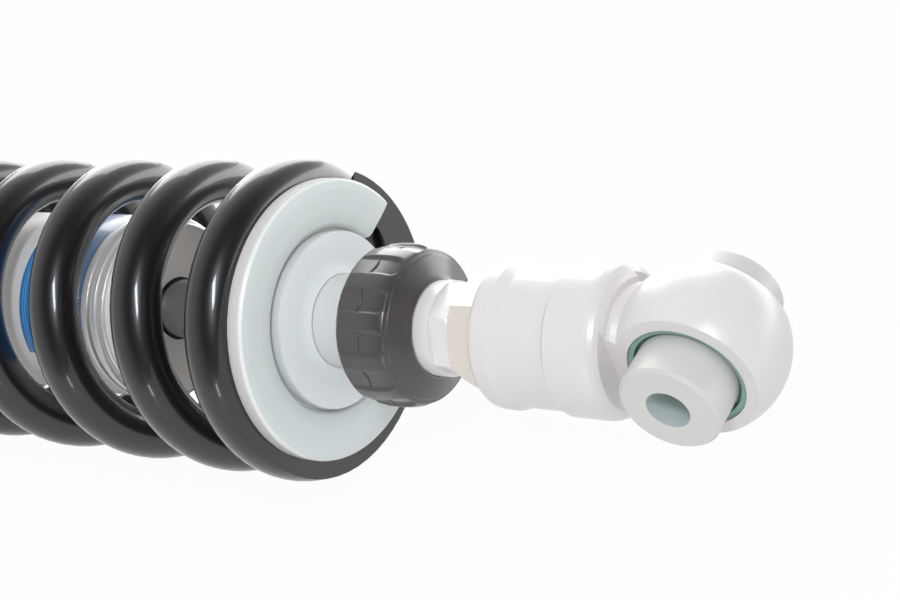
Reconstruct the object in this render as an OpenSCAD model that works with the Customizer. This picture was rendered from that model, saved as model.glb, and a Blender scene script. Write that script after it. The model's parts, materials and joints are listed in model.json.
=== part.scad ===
// Motorcycle rear shock absorber: a gas-charged monotube damper inside a coil spring.
// The shock's axis lies along X. The origin is the centre of the body-end eye, the rod-end
// eye is at +X, and both eye bores run along Y. Stations called s are measured back from the
// rod-end eye, and stations called x forward from the body-end eye. Lengths are millimetres.

/* [Travel] */
// Travel of the rod, to the bump stop's full crush
stroke = 43; // [30:1:46]

/* [Coil spring] */
// Diameter of the spring wire
wire_d = 12.8; // [11:0.1:13.5]
// Mean diameter of the coils
coil_d = 71.2; // [70:0.1:74]
// Length of the spring between its two ground faces
spring_len = 189.6; // [180:0.2:194]
// Number of turns that work, between the two closed end turns
active_turns = 5.5; // [4.5:0.5:6.5]
// Thickness left at the ground tips of the wire
tip_t = 1.2; // [1:0.1:3]
// Gap between an end turn and the turn beside it, where they lie closest
turn_gap = 0.5; // [0.45:0.05:1.5]
// Angle of the wire's tip at the rod end, from +Y towards +Z
tip_angle = 35; // [0:1:90]

/* [Eyes and bearings] */
// Radius of the spherical rod-end eye
eye_r = 19.1; // [18.5:0.1:20]
// Width of both eyes across their flat faces
eye_w = 19.3; // [18.6:0.1:20]
// Diameter of the bolt bore through the collars
bolt_d = 10; // [8:0.1:11]
// Width over the two collars of an eye
collar_span = 38.6; // [36:0.2:44]
// Outer diameter of the collars
collar_d = 23; // [22:0.1:23.4]
// Diameter of the bearing's outer race
race_d = 27.2; // [27:0.1:28]
// Diameter of the bearing's ball
ball_d = 22; // [21.4:0.1:22.2]
// Width of the bearing's outer race
race_w = 11.2; // [10.4:0.1:11.4]
// Bore of the ball, which takes the spigots of the collars
ball_bore_d = 14; // [13:0.1:14.6]
// Radial width of the seal ring beside each race
seal_t = 1.2; // [0.8:0.05:1.25]
// Distance of a collar's shoulder from the middle of the ball
shoulder_y = 7.9; // [7.9:0.1:8.2]

/* [Rod-end body] */
// Length from the rod-end eye to the body's nut face
rod_end_len = 51; // [49:0.5:56]
// Radius of the flange beside the eye
flange_r = 18; // [17.6:0.1:18.6]
// Station of the flange's far edge
flange_s = 29.8; // [28:0.1:31]
// Radius of the round body
shank_r = 17; // [16.4:0.1:17.4]
// Radius of the bead at the nut end
bead_r = 17.9; // [17.5:0.1:18.5]
// Radius of the neck behind the eye
neck_r = 12.9; // [12.4:0.1:13.4]
// Station of the shoulders that end the eye's two flat faces
ledge_s = 17; // [16.5:0.1:17.8]

/* [Nut and coupler] */
// Width of the jam nut across its flats
nut_af = 25; // [24:0.5:26]
// Height of the jam nut
nut_h = 8.6; // [6:0.1:10]
// Diameter of the stud that joins the coupler to the rod-end body
stud_d = 14; // [12:0.5:16]
// Depth that the stud is screwed into the rod-end body
stud_in = 20; // [16:0.5:24]
// Width of the coupler across its flats
coupler_af = 20.4; // [19.8:0.1:20.6]
// Diameter of the coupler's round collar
coupler_d = 23.4; // [23:0.1:23.6]
// Length of the coupler's flats
coupler_flat = 6.4; // [5.5:0.1:7]
// Length of the coupler that shows past the knob
coupler_show = 10.6; // [10:0.1:13]
// Depth of the coupler inside the knob
coupler_in = 5.4; // [4.6:0.1:5.8]

/* [Rebound knob] */
// Length of the knob
knob_len = 17.8; // [17.2:0.1:20]
// Radius over the knob's ribs
knob_r = 20.2; // [19.8:0.1:21]
// Radius of the knob's front edge
knob_front_r = 17.8; // [16.8:0.1:18.4]
// Length of the conical front face
knob_cone = 3; // [2:0.1:3.4]
// Number of finger pockets round the knob
pockets = 12; // [8:1:13]
// Width of a finger pocket
pocket_w = 6.4; // [5:0.1:7]
// Depth of a finger pocket
pocket_d = 1; // [0.6:0.1:1.4]
// Radius of the pocket's front corners
pocket_r = 2.8; // [1:0.1:2.9]
// Outer radius of the core that the rubber grips
core_r = 15.5; // [15:0.1:16]
// Radius of the journal that the core turns on
journal_r = 10; // [9.6:0.1:10.4]
// Travel of the metering rod over the knob's whole range
needle_travel = 1.2; // [0.6:0.1:1.4]
// Diameter of the pin that moves the metering rod
drive_pin_d = 3; // [2.4:0.1:3.2]

/* [Spring cup and retainer] */
// Radius of the sleeve between the knob and the cup
sleeve_r = 11.85; // [11.6:0.05:12.4]
// Length of the sleeve, to the cup's face
sleeve_len = 14.3; // [12:0.1:17]
// Radius of the low boss where the sleeve enters the cup
boss_r = 16; // [14:0.1:18]
// Height of the boss over the cup's face
boss_h = 0.9; // [0.5:0.1:2]
// Radius of the cup
cup_r = 22.8; // [22:0.1:23.4]
// Thickness of the cup's flange
cup_t = 3.4; // [2.4:0.1:4]
// Outer radius of the slotted retainer
retainer_r = 36.1; // [35.4:0.1:37]
// Thickness of the retainer's rim
rim_t = 4; // [3.4:0.1:5]
// Width of the retainer's flat rim
rim_w = 2.8; // [2:0.1:5]
// Depth of the retainer's recess, where the cup sits
recess_d = 3; // [2.6:0.1:3.4]
// Gap round the cup in the recess
recess_gap = 0.6; // [0.4:0.1:1.2]
// Fall of the retainer's face from the rim to the recess
dish_d = 1; // [0.4:0.1:1.1]
// Rounding of the recess's edge
recess_round = 1.8; // [0.6:0.1:1.9]
// Thickness of the retainer's lip behind the cup
lip_t = 3.5; // [3:0.1:5]
// Height of the spigots that centre the spring
spigot_h = 5; // [3:0.1:7]
// Radial clearance of the spring on its spigots
spigot_gap = 0.7; // [0.4:0.1:1]
// Half of the angle of the retainer's opening
slot_half = 33; // [25:1:40]
// Direction of the retainer's opening, from +Y towards +Z
slot_dir = -15; // [-40:1:10]
// Rounding of the opening's inner corners
horn_r = 3; // [1:0.1:4]
// Width of the slot that passes over the rod
slot_w = 17; // [16.6:0.1:20]

/* [Rod, piston and bump stop] */
// Diameter of the piston rod
rod_d = 16; // [15.4:0.1:16.4]
// Diameter of the rod's spigot at the piston
rod_tip_d = 10; // [9:0.1:11]
// Diameter of the rod's threaded end in the coupler
rod_thread_d = 12; // [11:0.1:13]
// Length of the rod's threaded end
rod_thread_len = 12; // [10:0.5:13]
// Bore of the rod for the metering rod
rod_bore_d = 6; // [5:0.1:6.4]
// Bore of the orifice that the needle closes
orifice_d = 4.6; // [4.4:0.1:4.8]
// Diameter of the bleed port across the rod
port_d = 2.4; // [1.6:0.1:3]
// Free length of the bump stop
bump_len = 22; // [19:0.5:26]
// How far the bump stop crushes at full travel
bump_crush = 14; // [10:0.5:15]
// Radius of the bump stop
bump_r = 15; // [13:0.1:16]
// Thickness of the piston
piston_t = 14; // [13:0.5:16]
// Diameter of the piston's ports
piston_port_d = 4; // [3:0.1:4.6]
// Number of flow ports through the piston
piston_ports = 6; // [4:1:6]
// Thickness of one shim
shim_t = 0.4; // [0.3:0.05:0.5]
// Number of shims in each stack
shims = 5; // [3:1:6]
// Width of the piston nut across its flats
piston_nut_af = 17; // [16:0.5:19]
// Height of the piston nut
piston_nut_h = 8; // [6:0.5:9]
// Thickness of the stop washer behind the piston
stop_t = 2; // [1.5:0.1:3]
// Thickness of the top-out bumper
topout_t = 5; // [4:0.1:6]

/* [Damper body] */
// Inner diameter of the body tube
tube_bore = 46; // [45:0.1:46.6]
// Wall of the body tube
tube_wall = 2.5; // [2.2:0.1:2.7]
// Thickness of the dust cap outside the tube
cap_t = 3; // [2.5:0.1:4]
// Radius of the dust cap
cap_r = 24.1; // [23.6:0.1:24.6]
// Length of the seal head
seal_head_len = 20; // [19:0.5:24]
// Length of the rod's bush
bush_len = 11; // [9:0.5:12]
// Wall of the rod's bush
bush_t = 1.5; // [1:0.1:1.8]
// Depth of the polished grooves round the tube
ring_d = 0.5; // [0.3:0.1:0.6]
// Width of each polished groove
ring_w = 2.2; // [1.4:0.1:2.6]
// Distance between the two polished grooves
ring_pitch = 3.2; // [2.8:0.1:6]
// Oil left between the rod's tip and the floating piston at full travel
oil_gap = 10.7; // [6:0.1:14]
// Length of the floating piston
floating_len = 14; // [12:0.5:16]

/* [End cap] */
// Distance from the body-end eye to the tube's end
cap_len = 36; // [34.5:0.5:37]
// Radius of the end cap's flange
cap_flange_r = 27.5; // [26.5:0.1:29]
// Length of the end cap's flange
cap_flange_len = 12; // [11.5:0.5:13]
// Radius of the end cap's neck
cap_neck_r = 15; // [13.5:0.1:16]
// Depth of the end cap's spigot in the tube
cap_spigot = 14; // [10:0.5:18]
// Diameter of the gas valve's stem
valve_d = 7.7; // [7:0.1:8.4]
// Height of the gas valve's tip above the axis
valve_top = 36; // [34:0.5:38]
// Diameter of the valve's dust cap
valve_cap_d = 9.6; // [9:0.1:11]

/* [Preload rings] */
// Length of the tube's thread that is free between the end cap and the lock ring
thread_free = 10.3; // [9:0.1:14]
// Radius of the upper spring seat
seat_r = 40; // [38:0.1:41]
// Thickness of the upper spring seat
seat_t = 5; // [4:0.1:5.6]
// Thickness of the thrust washer
thrust_t = 2; // [1.5:0.1:2.4]
// Height of the preload ring
preload_h = 9; // [7:0.1:9.6]
// Radius of the preload ring
preload_r = 33; // [31.5:0.1:35]
// Height of the lock ring
lock_h = 6; // [5:0.1:6.6]
// Radius of the lock ring
lock_r = 31.5; // [30.5:0.1:33]
// Number of spanner slots round each ring
spanner_slots = 8; // [4:1:10]
// Width of a spanner slot
spanner_w = 5.5; // [4:0.1:6.5]
// Depth of a spanner slot
spanner_d = 2.6; // [1.5:0.1:3]

/* [Fits] */
// Radial clearance of the pieces that turn or slide on each other
run_gap = 0.05; // [0.03:0.01:0.08]
// Radial clearance of the pieces that are pressed or screwed together
press_gap = 0.02; // [0.01:0.01:0.03]
// Clearance between faces that pass or meet across a joint
face_gap = 0.3; // [0.2:0.05:0.4]
// Clearance between faces that turn on each other
slide_gap = 0.1; // [0.05:0.05:0.15]

/* [Hidden] */
$fn = 96;
eps = 0.01;
over = 1;

// Stations back from the rod-end eye, each one built on the last
s_coupler = rod_end_len + nut_h;
s_knob = s_coupler + coupler_show;
s_coupler_end = s_knob + coupler_in;
s_core = s_coupler_end + face_gap;
s_knob_back = s_knob + knob_len;
s_core_end = s_knob_back - face_gap;
s_sleeve = s_knob_back + face_gap;
s_cup = s_sleeve + sleeve_len;
s_lip = s_cup + cup_t;
s_rim = s_lip - recess_d;
s_seat = s_rim + rim_t;
s_bump = s_lip + lip_t;
s_face = s_bump + bump_len + stroke - bump_crush;
s_tube = s_face + cap_t;

// Edges: the chamfer of large turned pieces, of small ones, of sharp ones and of soft ones
edge = 0.8;
fine = 0.4;
crisp = 0.2;
soft = 1.2;

// Seal head and piston, inside the tube
clip_t = 1.6;
clip_in = 2.4;
clip_depth = 1;
s_clip = s_tube + clip_in;
s_seal = s_clip + clip_t;
s_seal_end = s_seal + seal_head_len;
s_topout = s_seal_end + face_gap;
s_stop = s_topout + topout_t;
s_rebound = s_stop + stop_t;
stack_t = shims * shim_t;
s_piston = s_rebound + stack_t;
s_piston_end = s_piston + piston_t;
s_piston_nut = s_piston_end + stack_t;
s_rod_tip = s_piston_nut + piston_nut_h + over;
s_port = s_topout + topout_t / 2;
s_floating = s_rod_tip + stroke + oil_gap;
seal_pocket = 6;
band_w = 8;
band_t = 1;
s_band = s_piston + piston_t / 2 - band_w / 2;
floating_band_w = 4;
s_floating_band = s_floating + 2;
ring_in = 2.1;
s_ring = s_tube + ring_in;
ring_curve = (ring_w * ring_w / 4 + ring_d * ring_d) / (2 * ring_d);
ring_sweep = asin(ring_w / 2 / ring_curve);

// Radii that several pieces share
rod_r = rod_d / 2;
tip_r = rod_tip_d / 2;
bore_r = tube_bore / 2;
tube_r = bore_r + tube_wall;
wire_r = wire_d / 2;
coil_r = coil_d / 2;
spigot_r = coil_r - wire_r - spigot_gap;
race_r = race_d / 2;
ball_r = ball_d / 2;
ball_bore_r = ball_bore_d / 2;
eye_y = eye_w / 2;
collar_y = collar_span / 2;
recess_r = cup_r + recess_gap;
cover_gap = 0.15;
wiper_r = rod_r + 2.6;
wiper_wall = 1.9;
rod_seal_r = rod_r + 4;
topout_r = rod_r + 5;
loose_r = bore_r - fine;
cord_gap = 0.1;

// Bearings: circlip beside each race, and how far the seal and the race's land stand in
eye_clip_t = 1;
eye_clip_in = 0.7;
eye_clip_wall = 1.1;
seal_in = 0.6;
seal_floor = 0.3;
seal_floor_r = 11;
cap_ledge = 17.5;

// Angles, from +Y towards +Z, at which a hexagon's corner stands
coupler_corner = 125;
nut_corner = 113;

// The knob's barrel rises from its front edge over a length, and the pockets stop short of it
barrel_len = 7.5;
pocket_land = 0.6;
barrel = [for (u = [0 : 0.2 : 1]) [s_knob + knob_cone + barrel_len * u * u,
    knob_front_r + (knob_r - knob_front_r) * sin(90 * u)]];

// Preload stack, built forward from the end cap, then the spring's length between its seats
x_lock = cap_len + thread_free + lock_h;
x_preload = x_lock + preload_h;
x_thrust = x_preload + slide_gap + thrust_t;
x_seat = x_thrust + seat_t;
eye_to_eye = x_seat + spring_len + s_seat;

// Metering gear inside the rod
pin_in = 3.6;
orifice_in = 3;
s_pin = s_core + pin_in;
s_orifice = s_piston + orifice_in;
pin_r = drive_pin_d / 2;
needle_r = rod_bore_d / 2 - run_gap;
pin_grip = 1.6;
pin_reach = journal_r + pin_grip;
groove_r = pin_reach + face_gap;
detent_r = 1.25;
detent_in = 2.3;
s_detent = s_core_end - detent_in;
pin_window = drive_pin_d + needle_travel + 2 * face_gap;

// Small O-rings sit in square grooves that are a little wider than the cord
cord_r = 1.25;
groove_w = 3.2;
groove_floor = bore_r - 2 * cord_r - cord_gap;
x_cap_groove = cap_len + cap_spigot / 2 - groove_w / 2;
s_head_groove = s_seal + seal_head_len / 2 - groove_w / 2;
floating_land = 1.5;
s_floating_groove = s_floating + floating_len - groove_w - floating_land;

// Filling valve, across the end cap's flange
x_valve = cap_len - cap_flange_len / 2;
valve_low = 14;
valve_face = cap_flange_r - edge;
valve_face_r = 6;
valve_af = 10;
valve_hex_h = 3.4;
valve_hole_r = 1.2;
gas_way_r = 1.5;

// Round stretch of an outline about (cx, cy), from angle a to angle b
function arc(cx, cy, r, a, b, n = 6) =
    [for (i = [0 : n]) [cx + r * cos(a + (b - a) * i / n), cy + r * sin(a + (b - a) * i / n)]];

// Solid turned about the axis from points [station from the rod-end eye, radius]
module turned(points) {
    translate([eye_to_eye, 0, 0]) rotate([0, -90, 0])
        rotate_extrude() polygon([for (p = points) [p[1], p[0]]]);
}

// Solid turned about the axis from points [x from the body-end eye, radius]
module turned_x(points) {
    rotate([0, 90, 0]) rotate_extrude() polygon([for (p = points) [p[1], p[0]]]);
}

// Ring between stations a and b, with inner radius r and outer radius q
module ring(a, b, r, q) {
    turned([[a, r], [a, q], [b, q], [b, r]]);
}

// Round bar between stations a and b
module bar(a, b, r) {
    turned([[a, 0], [a, r], [b, r], [b, 0]]);
}

// Moves an outline drawn in the plane across the axis to station s and extrudes it back by len
module across(s, len) {
    translate([eye_to_eye - s - len, 0, 0]) rotate([90, 0, 90]) linear_extrude(height = len)
        children();
}

// Hexagon by its width across flats, with a corner at the given angle
module hexagon(af, corner) {
    rotate(corner) circle(d = af / cos(30), $fn = 6);
}

// Torus about the axis, for an O-ring whose outside has radius q at station s
module cord_ring(s, q) {
    translate([eye_to_eye - s, 0, 0]) rotate([0, -90, 0]) rotate_extrude()
        translate([q - cord_r, 0]) circle(r = cord_r, $fn = 32);
}

// Coil spring. Its height climbs slowly through each closed end turn and evenly between them.
tip_over = wire_r - tip_t;
climb_closed = wire_d + turn_gap;
turns = active_turns + 2;
coil_rise = spring_len - 2 * press_gap + 2 * tip_over;
climb = (coil_rise - 2 * climb_closed) / active_turns;
ease = 0.12;
rings_per_turn = 24;
ring_sides = 10;
coil_rings = round(turns * rings_per_turn);
s_wire = s_seat + press_gap - tip_over;

// Height gained by turn u: the two climbs, joined by a parabola of half-width ease about turn v
function bend(u, v) = u < v - ease ? 0 : u > v + ease ? u - v : pow(u - v + ease, 2) / (4 * ease);
function wire_s(u) = s_wire + climb_closed * u
    + (climb - climb_closed) * (bend(u, 1) - bend(u, turns - 1));
function wire_a(u) = tip_angle - 360 * u;
wire_reach = wire_r / cos(atan(climb / (360 * coil_r * PI / 180)));

// One section of the wire, with a flat where it passes the ground face at either end
function section(u) = let (
    s = wire_s(u),
    half = ring_sides / 2,
    side = 90 - 180 / ring_sides,
    low = (s_seat + press_gap - s) / wire_reach,
    high = (s_seat + spring_len - press_gap - s) / wire_reach,
    from = max(-side, low > -1 ? asin(min(low, 0.95)) : -90),
    to = min(side, high < 1 ? asin(max(high, -0.95)) : 90))
    [for (k = [0 : ring_sides - 1]) let (
        right = k < half,
        j = right ? k : ring_sides - 1 - k,
        t = from + (to - from) * j / (half - 1),
        r = coil_r + (right ? 1 : -1) * wire_r * cos(t),
        a = wire_a(u))
        [eye_to_eye - s - wire_reach * sin(t), r * cos(a), r * sin(a)]];

// Least gap between the wire and its neighbouring turn, measured on its centre line
coil_centres = [for (i = [0 : coil_rings]) let (u = turns * i / coil_rings, a = wire_a(u))
    [wire_s(u), coil_r * cos(a), coil_r * sin(a)]];
coil_gap = min([for (i = [0 : coil_rings]) for (j = [i + rings_per_turn - 3 : coil_rings])
    if (j <= i + rings_per_turn + 3) norm(coil_centres[i] - coil_centres[j])]) - 2 * wire_r;
echo(least_gap_between_turns = coil_gap);  // coil_spring

module coil_spring() {
    n = ring_sides;
    points = [for (i = [0 : coil_rings]) each section(turns * i / coil_rings)];
    sides = [for (i = [0 : coil_rings - 1]) for (k = [0 : n - 1]) let (
        a = i * n + k, b = i * n + (k + 1) % n, c = a + n, d = b + n) each [[a, b, d], [a, d, c]]];
    first = [for (k = [1 : n - 2]) [0, k + 1, k]];
    last = [for (k = [1 : n - 2]) [coil_rings * n, coil_rings * n + k, coil_rings * n + k + 1]];
    color([0.07, 0.07, 0.08]) polyhedron(points = points, faces = concat(sides, first, last));
}

// Opening of the retainer: its walls run out from the axis, with rounded inner corners
module retainer_opening() {
    reach = 2 * retainer_r;
    lean = asin(horn_r / (recess_r + horn_r));
    corner = slot_half + lean;
    middle = (recess_r + horn_r) * [cos(corner), sin(corner)];
    edge = concat([recess_r * [cos(corner), sin(corner)]],
        arc(middle[0], middle[1], horn_r, corner - 180, slot_half - 90, 5),
        [reach * [cos(slot_half), sin(slot_half)]]);
    rotate(slot_dir) {
        polygon(concat([[0, 0]], [for (p = edge) [p[0], -p[1]]],
            [for (i = [len(edge) - 1 : -1 : 0]) edge[i]]));
        translate([0, -slot_w / 2]) square([reach, slot_w]);
    }
}

module spring_retainer() {
    lip_r = rod_r + face_gap;
    wall = 3.6;
    inner = spigot_r - wall;
    blend = 2.2;
    color([0.76, 0.79, 0.78]) difference() {
        turned(concat([[s_lip, lip_r], [s_lip, recess_r]], arc(s_rim + dish_d + recess_round,
            recess_r + recess_round, recess_round, 270, 180, 8),
            [[s_rim + dish_d / 5, retainer_r - rim_w - blend], [s_rim, retainer_r - rim_w],
            [s_rim, retainer_r - edge], [s_rim + edge, retainer_r], [s_seat, retainer_r],
            [s_seat, spigot_r], [s_seat + spigot_h - edge, spigot_r],
            [s_seat + spigot_h, spigot_r - edge], [s_seat + spigot_h, inner],
            [s_bump, inner - edge], [s_bump, lip_r]]));
        across(s_rim - over, spigot_h + rim_t + 2 * over) retainer_opening();
    }
}

// Flanged cup that carries the retainer, with the sleeve and journal turned on one piece. A
// fine groove marks the sleeve's foot, and a low hollow-sided boss stands round it.
module spring_cup() {
    foot = s_cup - boss_h;
    groove = 0.35;
    brim = sleeve_r + groove / 2;
    rise = boss_r - brim;
    sweep = 2 * atan(boss_h / rise);
    curve = rise / sin(sweep);
    color([0.79, 0.81, 0.80]) difference() {
        turned(concat([[s_coupler_end, rod_r + press_gap], [s_coupler_end, journal_r],
            [s_sleeve, journal_r], [s_sleeve, sleeve_r - fine], [s_sleeve + fine, sleeve_r],
            [foot - groove, sleeve_r], [foot - groove, sleeve_r - groove],
            [foot, sleeve_r - groove]], arc(s_cup - curve, boss_r, curve, -sweep, 0, 4),
            [[s_cup, cup_r - crisp], [s_cup + crisp, cup_r], [s_lip, cup_r],
            [s_lip, rod_r + press_gap]]));
        pin_slot();
    }
}

// Slot that lets the drive pin travel along the rod
module pin_slot() {
    reach = journal_r + over;
    from = s_pin - pin_r - face_gap;
    translate([eye_to_eye - from - pin_window, -pin_r - run_gap, -reach])
        cube([pin_window, 2 * (pin_r + run_gap), 2 * reach]);
}

// Rubber grip: a barrel with a conical front and a ring of shallow finger pockets
module adjuster_knob() {
    bore = coupler_d / 2 + face_gap;
    back = 5;
    heel = 1.5;
    color([0.16, 0.15, 0.16]) difference() {
        turned(concat([[s_knob, bore]], barrel, [[s_knob_back - back, knob_r],
            [s_knob_back - heel, knob_r - fine], [s_knob_back, knob_r - heel],
            [s_knob_back, core_r], [s_core, core_r], [s_core, bore]]));
        for (i = [0 : pockets - 1]) rotate([360 * i / pockets, 0, 0]) pocket();
    }
}

// Cutter for one pocket, pointing along +Z, open at the knob's back edge. Its floor is flat
// across and follows the barrel lengthwise.
module pocket() {
    len = knob_len - knob_cone - pocket_land;
    h = pocket_w / 2 - pocket_r;
    intersection() {
        translate([eye_to_eye - s_knob_back, 0, core_r]) linear_extrude(height = knob_r)
            polygon(concat([[-over, -pocket_w / 2]],
                arc(len - pocket_r, -h, pocket_r, -90, 0, 4),
                arc(len - pocket_r, h, pocket_r, 0, 90, 4), [[-over, pocket_w / 2]]));
        translate([eye_to_eye, pocket_w, 0]) rotate([90, 0, 0])
            linear_extrude(height = 2 * pocket_w) polygon(concat(
                [for (p = barrel) [-p[0], p[1] - pocket_d]],
                [[-s_knob_back - over, knob_r - pocket_d], [-s_knob_back - over, 2 * knob_r],
                [-barrel[0][0], 2 * knob_r]]));
    }
}

// Core under the rubber, with the groove that drives the pin and the detent's pocket
module knob_core() {
    bore = journal_r + run_gap;
    from = s_pin - pin_r - face_gap;
    color([0.55, 0.56, 0.58]) difference() {
        turned([[s_core, bore], [s_core, core_r - press_gap], [s_core_end, core_r - press_gap],
            [s_core_end, bore], [from + pin_window, bore], [from + pin_window, groove_r],
            [from, groove_r], [from, bore]]);
        translate([eye_to_eye - s_detent, 0, 0]) cylinder(r = detent_r + run_gap, h = core_r);
    }
}

module detent_ball() {
    color([0.7, 0.7, 0.72])
        translate([eye_to_eye - s_detent, 0, journal_r + slide_gap + detent_r])
        sphere(r = detent_r, $fn = 32);
}

// Small spring behind the ball, as the tube that its coils fill
module detent_spring() {
    low = journal_r + slide_gap + 2 * detent_r;
    color([0.6, 0.6, 0.6]) translate([eye_to_eye - s_detent, 0, low]) difference() {
        cylinder(r = detent_r - slide_gap, h = core_r - press_gap - low, $fn = 32);
        translate([0, 0, -over]) cylinder(r = detent_r / 2, h = core_r, $fn = 32);
    }
}

// Bright coupler: a stud for the rod-end body, flats milled on a collar, a socket for the rod
module shaft_coupler() {
    r = coupler_d / 2;
    bevel = 1.6;
    color([0.82, 0.82, 0.82]) difference() {
        union() {
            bar(rod_end_len - stud_in, s_coupler + eps, stud_d / 2);
            bar(s_coupler + coupler_flat, s_coupler_end, r);
            intersection() {
                across(s_coupler, coupler_flat + eps) hexagon(coupler_af, coupler_corner);
                turned([[s_coupler, 0], [s_coupler, r - bevel], [s_coupler + bevel, r],
                    [s_coupler + coupler_flat + 2 * eps, r], [s_coupler + coupler_flat + 2 * eps, 0]]);
            }
        }
        bar(s_coupler_end - rod_thread_len, s_coupler_end + over, rod_thread_d / 2);
    }
}

module jam_nut() {
    r = nut_af / 2 / cos(30);
    bevel = 1.1;
    color([0.78, 0.76, 0.73]) difference() {
        intersection() {
            across(rod_end_len, nut_h) hexagon(nut_af, nut_corner);
            turned([[rod_end_len, 0], [rod_end_len, r - 2 * bevel], [rod_end_len + bevel, r + eps],
                [s_coupler - bevel, r + eps], [s_coupler, r - 2 * bevel], [s_coupler, 0]]);
        }
        bar(rod_end_len - over, s_coupler + over, stud_d / 2 + press_gap);
    }
}

// Round rod-end body: spherical eye, flange, shank and beaded end
module rod_end_eye() {
    round_r = 4.6;
    bead_round = 2.4;
    neck_len = 14.2;
    step = 0.6;
    end = rod_end_len;
    bead_at = end - 5.4;
    color([0.84, 0.83, 0.81]) difference() {
        union() {
            about_y(eye_to_eye) sphere(r = eye_r);
            turned(concat([[0, 0], [0, neck_r], [neck_len, neck_r],
                [neck_len + soft, neck_r + step]],
                arc(ledge_s - step + round_r, flange_r - round_r, round_r, 180, 90),
                [[flange_s, flange_r], [flange_s + step, shank_r], [bead_at - 3, shank_r],
                [bead_at - 1.8, shank_r + step / 2], [bead_at, bead_r]],
                arc(end - bead_round, bead_r - bead_round, bead_round, 90, 0, 4), [[end, 0]]));
        }
        eye_cuts(eye_to_eye, -1, ledge_s);
        bar(end - stud_in, end + over, stud_d / 2 + press_gap);
    }
}

// Flat faces, bearing bore and circlip grooves of an eye at x, whose body lies towards side
module eye_cuts(x, side, ledge) {
    depth = 2 * eye_r;
    for (k = [-1, 1]) {
        translate([side > 0 ? x - depth : x - ledge, k > 0 ? eye_y : -eye_y - depth, -depth])
            cube([depth + ledge, depth, 2 * depth]);
        translate([x, k * (race_w / 2 + eye_clip_t / 2), 0]) rotate([90, 0, 0])
            cylinder(r = race_r + eye_clip_in, h = eye_clip_t, center = true);
    }
    about_y(x) cylinder(r = race_r, h = eye_w + 2 * over, center = true);
}

// Turns a piece drawn about Z to lie about an eye's bore axis at x
module about_y(x) {
    translate([x, 0, 0]) rotate([90, 0, 0]) children();
}

// Ring about an eye's bore axis, between distances a and b from its middle on the given side
module eye_ring(x, side, a, b, r, q) {
    translate([x, side * (a + b) / 2, 0]) rotate([90, 0, 0]) difference() {
        cylinder(r = q, h = b - a, center = true);
        cylinder(r = r, h = b - a + 2 * over, center = true);
    }
}

module bearing_race(x) {
    color([0.62, 0.63, 0.65]) difference() {
        about_y(x) cylinder(r = race_r - press_gap, h = race_w, center = true);
        about_y(x) sphere(r = ball_r + run_gap);
    }
}

module bearing_ball(x) {
    half = shoulder_y - slide_gap;
    color([0.72, 0.73, 0.75]) difference() {
        intersection() {
            about_y(x) sphere(r = ball_r);
            about_y(x) cylinder(r = ball_r + over, h = 2 * half, center = true);
        }
        about_y(x) cylinder(r = ball_bore_r, h = 2 * ball_r, center = true);
    }
}

// Rubber ring beside each race: a wall round the collar on a thin floor under its shoulder
module eye_seals(x) {
    low = race_w / 2 + eye_clip_t + slide_gap;
    outer = race_r - slide_gap;
    color([0.22, 0.42, 0.38]) for (k = [-1, 1]) {
        eye_ring(x, k, low, low + seal_floor, seal_floor_r, outer);
        eye_ring(x, k, low, eye_y - seal_in, outer - seal_t, outer);
    }
}

module eye_circlips(x) {
    outer = race_r + eye_clip_in - slide_gap;
    mouth = 4;
    color([0.35, 0.35, 0.36]) for (k = [-1, 1]) difference() {
        eye_ring(x, k, race_w / 2, race_w / 2 + eye_clip_t, race_r - eye_clip_wall, outer);
        translate([x - mouth / 2, k > 0 ? 0 : -eye_w, 0]) cube([mouth, eye_w, 2 * race_r]);
    }
}

// Collar with a shoulder on the ball, a chamfered outer end and a spigot into the ball's bore
module eye_collar(x, side) {
    r = collar_d / 2;
    color([0.76, 0.75, 0.72]) translate([x, 0, 0]) rotate([side * -90, 0, 0])
        rotate_extrude() polygon([[bolt_d / 2, 0], [ball_bore_r - run_gap, 0],
            [ball_bore_r - run_gap, shoulder_y], [r, shoulder_y], [r, collar_y - edge],
            [r - edge, collar_y], [bolt_d / 2, collar_y]]);
}

// End cap: the body-end eye, a flange over the tube's end and a spigot inside it
module end_cap() {
    flange_x = cap_len - cap_flange_len;
    spigot_end = cap_len + cap_spigot;
    bevel = 1.4;
    round_r = 6;
    color([0.62, 0.63, 0.65]) difference() {
        union() {
            about_y(0) sphere(r = eye_r);
            turned_x(concat([[0, 0], [0, cap_neck_r], [flange_x - round_r, cap_neck_r]],
                arc(flange_x - round_r, cap_neck_r + round_r, round_r, -90, -20, 5),
                [[flange_x, cap_flange_r - bevel], [flange_x + bevel, cap_flange_r],
                [cap_len, cap_flange_r], [cap_len, bore_r - press_gap],
                [spigot_end - edge, bore_r - press_gap], [spigot_end, bore_r - edge],
                [spigot_end, 0]]));
        }
        eye_cuts(0, 1, cap_ledge);
        turned_x([[x_cap_groove, groove_floor], [x_cap_groove, bore_r + over],
            [x_cap_groove + groove_w, bore_r + over], [x_cap_groove + groove_w, groove_floor]]);
        translate([x_valve, 0, valve_low]) cylinder(r = valve_d / 2 + press_gap, h = cap_flange_r);
        translate([x_valve, 0, valve_face]) cylinder(r = valve_face_r, h = cap_flange_r, $fn = 48);
        translate([x_valve, 0, valve_low + gas_way_r]) rotate([0, 90, 0])
            cylinder(r = gas_way_r, h = cap_len, $fn = 24);
    }
}

module end_cap_o_ring() {
    color([0.1, 0.1, 0.1])
        cord_ring(eye_to_eye - x_cap_groove - groove_w / 2, bore_r - press_gap);
}

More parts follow.
